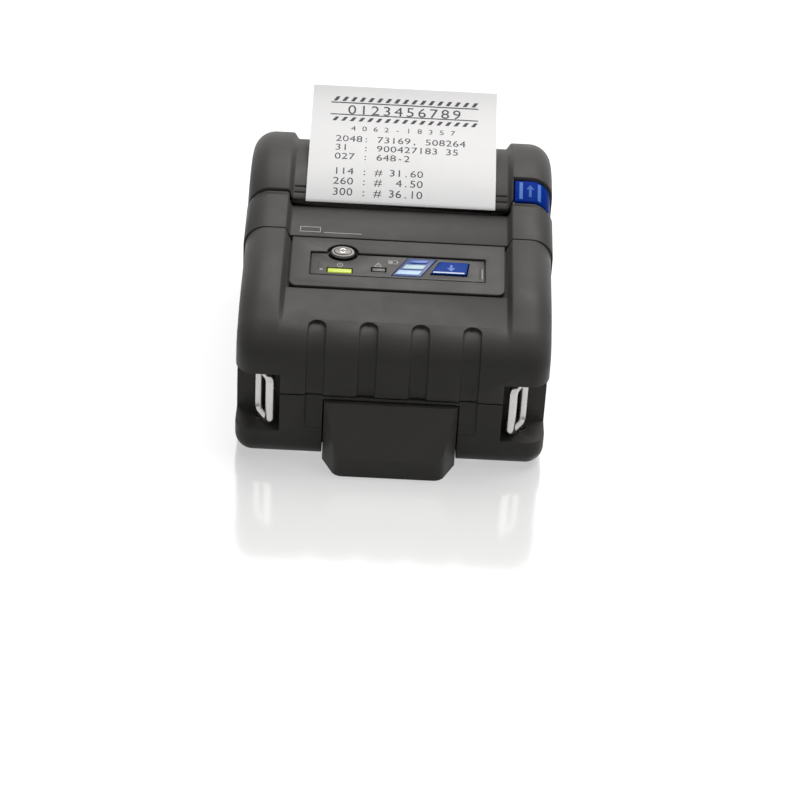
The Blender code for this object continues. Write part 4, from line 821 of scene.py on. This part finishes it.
def make_head_cover():
    """Band between the control panel and the slot."""
    band = body_solid("head_band", band_half, band_level)
    cavity = body_solid("cavity", band_half, band_level, wall)
    cut(band, [box(all_x, (front_y - overrun, seam_front_y), all_z), box(all_x, (band_rear_y, far_y), all_z),
               box(all_x, all_y, (-overrun, rim_z + gap)), cavity])
    cut(band, [box((-bar_half, bar_half), (band_centre_y - flange_depth, band_centre_y),
                   (bar_flange_low_z, slot_z - wall / 2))], "UNION")
    cut(band, [box((-slot_half, slot_half), (band_centre_y, far_y), (rim_z, far_z))])
    return dress(shade(ease(band)), "root", charcoal, "case_plastic", "head_cover")


lever_inner_x = channel_half + shoulder_ramp + gap
lever_front_y = 0.0037
lever_rear_y = 0.0104
lever_low_z = 0.0440
lever_inset = 0.0007
lever_skin = 0.0018
lever_edge = edge * 1.6
lever_gap = 0.0004
lever_travel = 0.0015
stem_x = (0.0347, 0.0385)
# Places, half width and segments of the painted highlight strips on the lever.
lever_painted_highlight_places = (0.0352, 0.0406)
lever_painted_highlight_half = 0.0005
lever_painted_highlight_steps = 8
lever_mark_times = 3
lever_arrow_x = 0.0379
lever_arrow = (-0.0020, 0.0004, 0.0004, 0.0004, 0.0018, 0.0012)
stem_outline = [(0.0039, 0.0438), (0.0062, 0.0438), (0.0062, 0.0566), (0.0039, 0.0552), (0.0026, 0.0480),
                (0.0026, 0.0462)]

# Steps along the cover's lip
lip_groove_places = (0.0043, 0.0060)
lip_groove_width = 0.00035
lip_groove_depth = 0.00035


def cover_top(y):
    """Height of the cover's centre channel at a place along Y."""
    return roll_arc_z + sqrt((roll_arc_radius + cover_level) ** 2 - (y - roll_arc_y) ** 2)


def make_cover_shell():
    cover = body_solid("roll_cover", cover_half, cover_level)
    cavity = body_solid("cavity", cover_half, cover_level, wall)
    tools = [box(all_x, (front_y - overrun, lip_y), all_z), box(all_x, all_y, (-overrun, rim_z + gap)),
             cavity,
             box((lever_inner_x - lever_gap, reach), (front_y, lever_rear_y + lever_gap),
                 (lever_low_z - lever_travel - gap, far_z))]
    tools += both_sides(slot_half - gap, reach, (front_y, cover_front_y), all_z)
    for y in lip_groove_places:
        top = cover_top(y)
        tools.append(box((-channel_half, channel_half), (y, y + lip_groove_width),
                         (top - lip_groove_depth, far_z)))
    cut(cover, tools + knuckle_gaps(case_knuckles))
    cut(cover, [knuckle(start, end, 1) for start, end in cover_knuckles], "UNION")
    cut(cover, [hinge_bore()])
    return dress(shade(ease(cover)), "cover", charcoal, "case_plastic", "cover_shell")


def on_lever(x, y, out):
    """Place on the lever's rounded top, the given height out of it."""
    round_off = top_corner - lever_inset
    beyond = min(max((x - cover_half + top_corner) / round_off, 0.0), 1.0)
    drop = round_off * (1 - sqrt(1 - beyond ** 2))
    height = roll_arc_radius + shoulder_height - lever_inset - drop + out * lever_mark_times
    return (x, y, roll_arc_z + sqrt(height ** 2 - (y - roll_arc_y) ** 2))


def make_lever():
    lever = body_solid("release_key", cover_half, cover_level, lever_inset, 8, 16)
    inner = body_solid("inner", cover_half, cover_level, lever_inset + lever_skin)
    notch = box((lever_inner_x, reach), (lever_front_y, lever_rear_y), (lever_low_z, far_z))
    cut(lever, [notch], "INTERSECT")
    cut(lever, [inner])
    cut(lever, [prism("stem", stem_outline, along_x, *stem_x)], "UNION")
    dress(shade(ease(lever, lever_edge, 3)), "lever", lever_gloss, "lever_blue", "release_lever")
    sign = arrow(lever_arrow_x, (lever_front_y + lever_rear_y) / 2, *lever_arrow)
    mark("lever_arrow", sign, on_lever, "lever", lever_relief, "lever_blue")
    # Two pale strips along the lever's top: painted highlights for reflections on its facets.
    first, last = lever_front_y + lever_inset, lever_rear_y - lever_inset
    half = (last - first) / lever_painted_highlight_steps / 2
    painted_highlights = [straight(x, first + half * (2 * k + 1), lever_painted_highlight_half, half)
              for x in lever_painted_highlight_places for k in range(lever_painted_highlight_steps)]
    mark("lever_painted_highlights", painted_highlights, on_lever, "lever", lever_highlight_paint, "lever_blue")


# Control panel

plate_half = channel_half - 0.0005
plate_low = -0.0005
plate_corner = 0.0022
plate_edge = 0.0003
inlay_half = plate_half - 0.0056
inlay_start = 0.0213
inlay_end = 0.0308
inlay_high_start = 0.0001
inlay_high_end = 0.0004


def power_opening():
    outline = power_outline(power_rim_x, power_rim_down)
    return tool(outline, on_panel, plate_low - overrun, overrun)


def make_plate():
    start = band_length + gap
    outline = [(-plate_half, start), (plate_half, start)]
    outline += arc(plate_half - plate_corner, plate_end - plate_corner, plate_corner, 0, pi / 2, 12)
    outline += arc(-plate_half + plate_corner, plate_end - plate_corner, plate_corner, pi / 2, pi, 12)
    plate = prism("panel_surround", outline, on_panel, plate_low, band_level)
    window = straight(0, (inlay_start + inlay_end) / 2, inlay_half, (inlay_end - inlay_start) / 2)
    cut(plate, [tool(window, on_panel, plate_low - overrun, overrun), power_opening()])
    return dress(shade(ease(plate, plate_edge, 3)), "root", plate_satin, "panel_plastic", "panel_plate")


def make_overlay():
    """Wedge in the plate's window, deepest along its upper edge."""
    half = inlay_half - gap
    start = inlay_start + gap
    end = inlay_end - gap
    corners = [(start, plate_low), (start, inlay_high_start), (end, inlay_high_end), (end, plate_low)]
    overlay = loft("panel_inlay", [[on_panel(x, down, out) for down, out in corners] for x in (-half, half)])
    cut(overlay, panel_holes(plate_low - overrun, overrun) + [power_opening()])
    return dress(shade(ease(overlay, fine_edge)), "root", inlay_satin, "panel_plastic", "panel_overlay")


def domed(name, shape, low, high, crown, rings):
    """Key with a rounded rim and a gentle crown; shape(grow) gives its outline."""
    levels = [(0, low)]
    for step in range(rings + 1):
        angle = pi / 2 * step / rings
        levels.append((-crown * (1 - cos(angle)), high - crown * (1 - sin(angle))))
    return loft(name, [[on_panel(a, b, height) for a, b in shape(grow)] for grow, height in levels])


def on_cap(x, down, out):
    return on_panel(x, down, button_proud + out * cap_mark_times)


def make_keys():
    power = domed("power_key_rim", lambda grow: power_outline(grow, grow), key_low,
                  button_proud - power_rim_drop, power_crown, 8)
    dress(shade(power, radians(60)), "power_key", button_gloss, "button_dark", "power_button")
    cap = domed("power_key_cap", lambda grow: power_outline(grow - cap_inset_x, grow - cap_inset_down), 0,
                button_proud, cap_crown, 8)
    dress(shade(cap, radians(60)), "power_key", button_metal, "button_dark")
    # Two slightly raised arcs in a light metal on the dark cap: painted highlights for glints on the dome.
    relief = []
    for start in (0, pi):
        relief += flat_ring(power_x, power_down, glint_radius, glint_width, start + glint_gap_angle,
                            start + pi - glint_gap_angle)
    mark("power_key_painted_glint", relief, on_cap, "power_key", button_painted_glint, "button_dark")
    feed = domed("feed_key_cap", feed_outline, key_low, feed_high, feed_crown, 4)
    dress(shade(feed, radians(50)), "feed_key", feed_gloss, "feed_blue", "feed_button")


def make_lamps():
    for name, place, finish, slot, node_name in (
            ("power_lens", power_lamp, green_glow, "lamp_green", "power_lamp"),
            ("error_lens", error_lamp, dim_lamp, "lamp_dark", "error_lamp")):
        lens = prism(name, straight(*place), on_panel, -wall, lamp_high)
        dress(shade(ease(lens, lamp_edge, 3)), "root", finish, slot, node_name)
    lens = prism("gauge_lens", slanted(*gauge), on_panel, -wall, gauge_high)
    dress(shade(ease(lens, lamp_edge / 2)), "root", gauge_tint, "gauge_blue", "battery_gauge")
    x, down, half_x, half_down = gauge
    for number, (shares, colour) in enumerate(zip(gauge_bar_shares, (bar_white, bar_green, bar_blue)), 1):
        shape = slanted(x + half_x * shares[0], down + half_down * shares[1], half_x * shares[2],
                        half_down * shares[3])
        bar = prism("gauge_bar_%d" % number, shape, on_panel, gauge_high + print_height,
                    gauge_high + gauge_bar_high)
        dress(shade(ease(bar, fine_edge)), "root", colour, "gauge_blue")


# Printed marks, painted highlights and painted shade: flat shapes that lie just proud of a surface

print_height = 0.00002


def flat_bar(a0, b0, a1, b1, width):
    run = Vector((a1 - a0, b1 - b0)).normalized() * width / 2
    side = Vector((-run.y, run.x))
    return [(a0 + side.x, b0 + side.y), (a0 - side.x, b0 - side.y), (a1 - side.x, b1 - side.y),
            (a1 + side.x, b1 + side.y)]


def flat_ring(a, b, radius, width, start, end, count=20):
    inner = arc(a, b, radius - width / 2, start, end, count)
    outer = arc(a, b, radius + width / 2, start, end, count)
    return [[inner[i], inner[i + 1], outer[i + 1], outer[i]] for i in range(count)]


def flat_frame(a, b, half_a, half_b, width):
    corners = [(a - half_a, b - half_b), (a + half_a, b - half_b), (a + half_a, b + half_b),
               (a - half_a, b + half_b)]
    return [flat_bar(*corners[k], *corners[(k + 1) % 4], width) for k in range(4)]


def arrow(a, b, tail, neck, half, base, tip, head_half):
    """Shaft from tail to neck and head from base to tip, counted along b from the given place."""
    shaft = flat_bar(a, b + tail, a, b + neck, 2 * half)
    return [shaft, [(a - head_half, b + base), (a + head_half, b + base), (a, b + tip)]]


def mark(name, shapes, place, body, finish, slot):
    """Thin closed shapes that stand print_height out of a surface."""
    vertices, faces = [], []
    for shape in shapes:
        first = len(vertices)
        count = len(shape)
        for height in (-print_height, print_height):
            vertices += [place(a, b, height) for a, b in shape]
        faces += [tuple(range(first, first + count)), tuple(range(first + count, first + 2 * count))]
        faces += walls(first, first + count, count)
    return dress(make(name, vertices, faces), body, finish, slot)


def on_inlay(x, down, out):
    """Panel frame with its height counted from the sloping face of the inlay."""
    share = (down - inlay_start) / (inlay_end - inlay_start)
    return on_panel(x, down, inlay_high_start + (inlay_high_end - inlay_high_start) * share + out)


def on_band(x, down, out):
    return on_panel(x, down, band_level + out)


def on_feed(x, down, out):
    return on_panel(x, down, feed_high + out)


# Signs: frames have a centre and half sizes, bars two ends, all as x and distance down; widths come last
sign_line = 0.00022
power_sign = (-0.0165, 0.0262, 0.00075)
power_sign_gap_angle = 0.6
power_bars = [(-0.0165, 0.0252, -0.0165, 0.0263, sign_line)]
alert_bars = [(-0.0066, 0.0261, -0.0056, 0.0245, sign_line), (-0.0056, 0.0245, -0.0046, 0.0261, sign_line),
              (-0.0067, 0.0261, -0.0045, 0.0261, sign_line), (-0.0056, 0.0251, -0.0056, 0.0256, sign_line)]
battery_sign = (-0.0014, 0.0240, 0.0012, 0.00065, sign_line)
battery_bars = [(-0.0001, 0.0240, 0.0002, 0.0240, 0.0005), (-0.0024, 0.0240, -0.0015, 0.0240, 0.0007)]
slot_bars = [(-0.0222, 0.0284, -0.0213, 0.0284, 0.0005), (0.0242, 0.0252, 0.0242, 0.0292, sign_line)]
# Dark bars near the inlay's ends: painted shade standing in for grooves, which are not cut.
groove_shade_bars = [(-0.0226, 0.0254, -0.0226, 0.0280, 0.0004), (0.0236, 0.0246, 0.0236, 0.0294, 0.0006)]
paper_sign = (-0.0257, 0.0122, 0.0029, 0.0010, sign_line)
paper_bars = [(-0.0218, 0.0133, -0.0108, 0.0133, sign_line)]
feed_arrow_x = feed_x - 0.0002
feed_arrow = (-0.0012, 0.0002, 0.00035, 0.0, 0.0014, 0.0012)


def bars(rows):
    return [flat_bar(*row) for row in rows]


def make_legends():
    power = flat_ring(*power_sign, sign_line, -pi / 2 + power_sign_gap_angle,
                      1.5 * pi - power_sign_gap_angle)
    for name, shapes, finish in (
            ("legend_power", power + bars(power_bars), legend),
            ("legend_alert", bars(alert_bars), legend),
            ("legend_battery", flat_frame(*battery_sign) + bars(battery_bars), legend),
            ("legend_slots", bars(slot_bars), legend),
            # Flat near-black bars: painted shade for grooves, no recess is cut.
            ("inlay_painted_groove_shade", bars(groove_shade_bars), groove_painted_shade)):
        mark(name, shapes, on_inlay, "root", finish, "panel_plastic")
    paper_marks = flat_frame(*paper_sign) + bars(paper_bars)
    mark("legend_paper", paper_marks, on_band, "root", legend, "case_plastic")
    sign = arrow(feed_arrow_x, feed_down, *feed_arrow)
    mark("legend_feed", sign, on_feed, "feed_key", feed_mark, "feed_blue")
    # Pale strip along the feed key's lower edge: a painted highlight where the edge catches light.
    low_edge = feed_down + feed_half_down - feed_painted_highlight_width
    painted_highlight = flat_bar(feed_x - feed_top_half - feed_painted_highlight_reach, low_edge,
                    feed_x + feed_top_half - feed_painted_highlight_width, low_edge, feed_painted_highlight_width)
    mark("feed_key_painted_highlight", [painted_highlight], on_feed, "feed_key", feed_painted_highlight, "feed_blue")


# Strap rings

ring_wire = 0.0014
ring_bend = 0.0016
ring_pin_length = 0.0020
ring_pin_radius = 0.0011


def make_ring(name, side, body, node_name):
    """Smooth wire ring with two upright legs and its pins."""
    upright = Vector((0, 0, 1))
    pivot = Vector((side * ring_pivot_x, ring_pivot_y, 0))
    across = Vector((side * ring_free_x, ring_free_y, 0)) - pivot
    direction = across.normalized()
    square = direction.cross(upright)
    far = across.length - ring_bend
    low = ring_low_z + ring_pin_length + ring_wire + ring_bend
    high = ring_high_z - ring_pin_length - ring_wire - ring_bend
    path = arc(ring_bend, high, ring_bend, pi, pi / 2, 12) + arc(far, high, ring_bend, pi / 2, 0, 12)
    path += arc(far, low, ring_bend, 0, -pi / 2, 12) + arc(ring_bend, low, ring_bend, -pi / 2, -pi, 12)
    rows = []
    for index, (a, z) in enumerate(path):
        run = (Vector(path[(index + 1) % len(path)]) - Vector(path[index - 1])).normalized()
        outward = direction * -run.y + upright * run.x
        centre = pivot + direction * a + upright * z
        rows.append([centre + outward * x + square * y for x, y in oval(0, 0, ring_wire, ring_wire, 24)])
    ring = loft(name, rows, True)
    cut(ring, [rod(pivot.x, pivot.y, ring_pin_radius, along_z, ring_low_z, ring_high_z, 24)], "UNION")
    return dress(shade(ring, radians(45)), body, ring_satin, "bright_steel", node_name)


# Receipt

paper_thickness = 0.0002
receipt_low_z = 0.0456
web_front_y = 0.0014
receipt_length = 0.0533
receipt_rise = 0.0073
receipt_bend = 0.0020
receipt_mid_angle = radians(15.5)
receipt_end_angle = radians(33)
receipt_steps = 128
receipt_columns = 24


def receipt_angle(run):
    """Slope of the receipt at a distance from the print line."""
    if run < receipt_rise + receipt_bend:
        return pi / 2 - (pi / 2 - receipt_end_angle) * smooth((run - receipt_rise) / receipt_bend)
    along = (run - receipt_rise - receipt_bend) / (receipt_length - receipt_rise - receipt_bend)
    return receipt_mid_angle + (receipt_end_angle - receipt_mid_angle) * (2 * along - 1) ** 2


def receipt_path():
    """Centre line of the receipt as (y, z, run y, run z), up from the print line and back over the cover."""
    y, z = web_front_y + paper_thickness / 2, receipt_low_z
    points = []
    for index in range(receipt_steps + 1):
        angle = receipt_angle(receipt_length * index / receipt_steps)
        points.append((y, z, cos(angle), sin(angle)))
        angle = receipt_angle(receipt_length * (index + 0.5) / receipt_steps)
        y += cos(angle) * receipt_length / receipt_steps
        z += sin(angle) * receipt_length / receipt_steps
    return points


receipt_points = receipt_path()


def on_receipt(x, down, out):
    """Place on the printed face: x, distance down from the free end, and height out of the paper."""
    at = min(max((receipt_length - down) / receipt_length * receipt_steps, 0), receipt_steps - 1e-6)
    index = int(at)
    part = at - index
    first, second = receipt_points[index], receipt_points[index + 1]
    y, z, run_y, run_z = [p + (q - p) * part for p, q in zip(first, second)]
    height = paper_thickness / 2 + out
    return (x, y - run_z * height, z + run_y * height)


def make_receipt():
    columns = receipt_columns
    vertices = []
    for y, z, run_y, run_z in receipt_points:
        for side in (1, -1):
            vertices += [(-paper_half + 2 * paper_half * k / columns,
                          y - run_z * side * paper_thickness / 2, z + run_y * side * paper_thickness / 2)
                         for k in range(columns + 1)]
    width = columns + 1
    faces = []
    last = len(receipt_points) - 1
    for i in range(last):
        a, b = i * 2 * width, (i + 1) * 2 * width
        faces += [(a + k, a + k + 1, b + k + 1, b + k) for k in range(columns)]
        faces += [(a + width + k, b + width + k, b + width + k + 1, a + width + k + 1)
                  for k in range(columns)]
        faces += [(a, b, b + width, a + width),
                  (a + columns, a + width + columns, b + width + columns, b + columns)]
    for a in (0, last * 2 * width):
        faces += [(a + k, a + k + 1, a + width + k + 1, a + width + k) for k in range(columns)]
    strip = make("printed_receipt", vertices, faces)
    return dress(shade(strip, radians(60)), "cover", paper, "paper", "receipt_strip")


# Height of a digit as a share of the font's size, and how much its width is stretched
digit_share = 0.72
glyph_width_share = 1.1


def glyph(character, height):
    """Vertices and faces of one character of Blender's own font, at the given height."""
    curve = bpy.data.curves.new("glyph", "FONT")
    curve.body = character
    curve.size = height / digit_share
    curve.align_x = "CENTER"
    curve.resolution_u = 3
    holder = bpy.data.objects.new("glyph", curve)
    bpy.context.scene.collection.objects.link(holder)
    graph = bpy.context.evaluated_depsgraph_get()
    mesh = bpy.data.meshes.new_from_object(holder.evaluated_get(graph))
    vertices = [(v.co.x, v.co.y) for v in mesh.vertices]
    faces = [tuple(face.vertices) for face in mesh.polygons]
    bpy.data.objects.remove(holder, do_unlink=True)
    bpy.data.meshes.remove(mesh)
    return vertices, faces


# Each printed row: distance down from the free end, height, pitch, left edge and text
row_left = -0.0192
small_left = -0.0150
receipt_rows = (
    (0.0171, 0.0020, 0.00165, small_left, "4 0 6 2 - 1 8 3 5 7"),
    (0.0218, 0.0026, 0.00205, row_left, "2048: 73169, 508264"),
    (0.0255, 0.0026, 0.00205, row_left, "31  : 900427183 35"),
    (0.0292, 0.0026, 0.00205, row_left, "027 : 648-2"),
    (0.0351, 0.0026, 0.00205, row_left, "114 : # 31.60"),
    (0.0388, 0.0026, 0.00205, row_left, "260 : #  4.50"),
    (0.0426, 0.0026, 0.00205, row_left, "300 : # 36.10"),
)
block_half = 0.0222
block_top = 0.0038
block_low = 0.0132
hatch_pitch = 0.0026
hatch_width = 0.0011
hatch_height = 0.0016
hatch_lean = 0.0010
block_line = 0.0004
number_height = 0.0036
number_pitch = 0.0035


def make_print():
    """Rows of plain numbers and a hatched block, printed on the receipt."""
    vertices, faces, shapes = [], [], {}

    def add(points, polygons):
        first = len(vertices)
        vertices.extend(on_receipt(x, down, print_height) for x, down in points)
        faces.extend(tuple(first + k for k in polygon) for polygon in polygons)

    def write(text, left, low, height, pitch):
        for place, character in enumerate(text):
            if character == " ":
                continue
            if (character, height) not in shapes:
                shapes[character, height] = glyph(character, height)
            outline, polygons = shapes[character, height]
            add([(left + pitch * place + a * glyph_width_share, low - b) for a, b in outline], polygons)

    for low, height, pitch, left, text in receipt_rows:
        write(text, left, low, height, pitch)
    middle = (block_top + block_low) / 2
    write("0123456789", -number_pitch * 4.5, middle + number_height / 2, number_height, number_pitch)
    for number in range(int(2 * block_half / hatch_pitch)):
        x = -block_half + hatch_pitch * (number + 0.25)
        for low in (block_top + hatch_height, block_low):
            add([(x, low), (x + hatch_width, low), (x + hatch_width + hatch_lean, low - hatch_height),
                 (x + hatch_lean, low - hatch_height)], [(0, 1, 2, 3)])
    for down in (block_top + 1.5 * hatch_height, block_low - 1.5 * hatch_height):
        add([(-block_half, down), (block_half, down), (block_half, down - block_line),
             (-block_half, down - block_line)], [(0, 1, 2, 3)])
    printed = make("receipt_print", vertices, faces)
    return dress(printed, "cover", ink, "paper")


# Light, floor and camera

floor_half = 3.0
white_light = (1.0, 1.0, 1.0, 1.0)


def seen_directly(tree):
    """1 for rays from the camera, and for those that metal and glass send on."""
    rays = node(tree, "ShaderNodeLightPath")
    value = rays.outputs["Is Camera Ray"]
    for name in ("Is Glossy Ray", "Is Transmission Ray"):
        made = node(tree, "ShaderNodeMath", {"operation": "MAXIMUM"})
        tree.links.new(value, made.inputs[0])
        tree.links.new(rays.outputs[name], made.inputs[1])
        value = made.outputs[0]
    return value


def cleared(owner):
    """Empty node tree of a new world or material."""
    owner.use_nodes = True
    owner.node_tree.nodes.clear()
    return owner.node_tree


def by_ray(tree, unseen, seen, output):
    """One shader for the rays that are seen directly and another for those that only light the object."""
    mix = node(tree, "ShaderNodeMixShader")
    tree.links.new(seen_directly(tree), mix.inputs[0])
    tree.links.new(unseen.outputs[0], mix.inputs[1])
    tree.links.new(seen.outputs[0], mix.inputs[2])
    tree.links.new(mix.outputs[0], node(tree, output).inputs["Surface"])


def make_world():
    world = bpy.data.worlds.new("studio")
    bpy.context.scene.world = world
    tree = cleared(world)
    dim = node(tree, "ShaderNodeBackground", Color=(0.80, 0.82, 0.86, 1.0), Strength=0.13)
    bright = node(tree, "ShaderNodeBackground", Color=white_light, Strength=1.0)
    by_ray(tree, dim, bright, "ShaderNodeOutputWorld")


def make_floor():
    floor = make("floor", [(a, b, 0) for a, b in straight(0, 0, floor_half, floor_half)], [(3, 2, 1, 0)])
    finish = bpy.data.materials.new("floor_pale")
    tree = cleared(finish)
    lit = node(tree, "ShaderNodeBsdfDiffuse", Color=(0.55, 0.55, 0.55, 1.0))
    glow = node(tree, "ShaderNodeEmission", Color=white_light, Strength=0.74)
    both = node(tree, "ShaderNodeAddShader")
    shine = node(tree, "ShaderNodeBsdfGlossy", Color=white_light, Roughness=0.13)
    polished = node(tree, "ShaderNodeMixShader", Fac=0.32)
    unseen = node(tree, "ShaderNodeBsdfDiffuse", Color=(0.14, 0.14, 0.14, 1.0))
    tree.links.new(lit.outputs[0], both.inputs[0])
    tree.links.new(glow.outputs[0], both.inputs[1])
    tree.links.new(both.outputs[0], polished.inputs[1])
    tree.links.new(shine.outputs[0], polished.inputs[2])
    by_ray(tree, unseen, polished, "ShaderNodeOutputMaterial")
    floor.data.materials.append(finish)


def lamp(name, place, target, size, power, colour=(1, 1, 1)):
    light = bpy.data.lights.new(name, "AREA")
    light.shape = "RECTANGLE"
    light.size, light.size_y = size
    light.energy = power
    light.color = colour
    holder = bpy.data.objects.new(name, light)
    holder.location = place
    holder.rotation_euler = (Vector(target) - Vector(place)).to_track_quat("-Z", "Y").to_euler()
    bpy.context.scene.collection.objects.link(holder)


def make_lights():
    middle = (0, 0, 0.03)
    lamp("overhead", (0.16, 0.26, 0.86), middle, (0.8, 0.6), 7.9, (1.0, 0.985, 0.96))
    lamp("front_left", (-0.55, -0.60, 0.45), middle, (0.35, 0.5), 0.10)
    lamp("right", (0.75, -0.20, 0.35), middle, (0.3, 0.5), 0.12)


camera_elevation = radians(34.62)
camera_yaw = radians(0.726)
camera_roll = radians(3.26)
camera_place = (-0.004734, -0.618442, 0.413053)
lens_mm = 109.9


def make_camera():
    look = Vector((sin(camera_yaw) * cos(camera_elevation), cos(camera_yaw) * cos(camera_elevation),
                   -sin(camera_elevation)))
    right = Vector((cos(camera_yaw), -sin(camera_yaw), 0))
    up = right.cross(look)
    across = right * cos(camera_roll) + up * sin(camera_roll)
    upward = up * cos(camera_roll) - right * sin(camera_roll)
    data = bpy.data.cameras.new("camera")
    data.lens = lens_mm
    data.sensor_width = 36.0
    data.clip_start = 0.01
    holder = bpy.data.objects.new("camera", data)
    turned = Matrix((across, upward, -look)).transposed().to_4x4()
    holder.matrix_world = Matrix.Translation(camera_place) @ turned
    bpy.context.scene.collection.objects.link(holder)
    bpy.context.scene.camera = holder


def build():
    make_camera()
    finish_nodes()
    for step in (make_lower_case, make_front_case, make_head_cover, make_cover_shell, make_lever, make_plate,
                 make_overlay, make_keys, make_lamps, make_legends):
        step()
    make_ring("ring_left_wire", -1, "ring_left", "strap_ring_left")
    make_ring("ring_right_wire", 1, "ring_right", "strap_ring_right")
    for step in (make_receipt, make_print, make_world, make_floor, make_lights):
        step()
    bpy.context.scene.view_settings.view_transform = "Standard"


build()
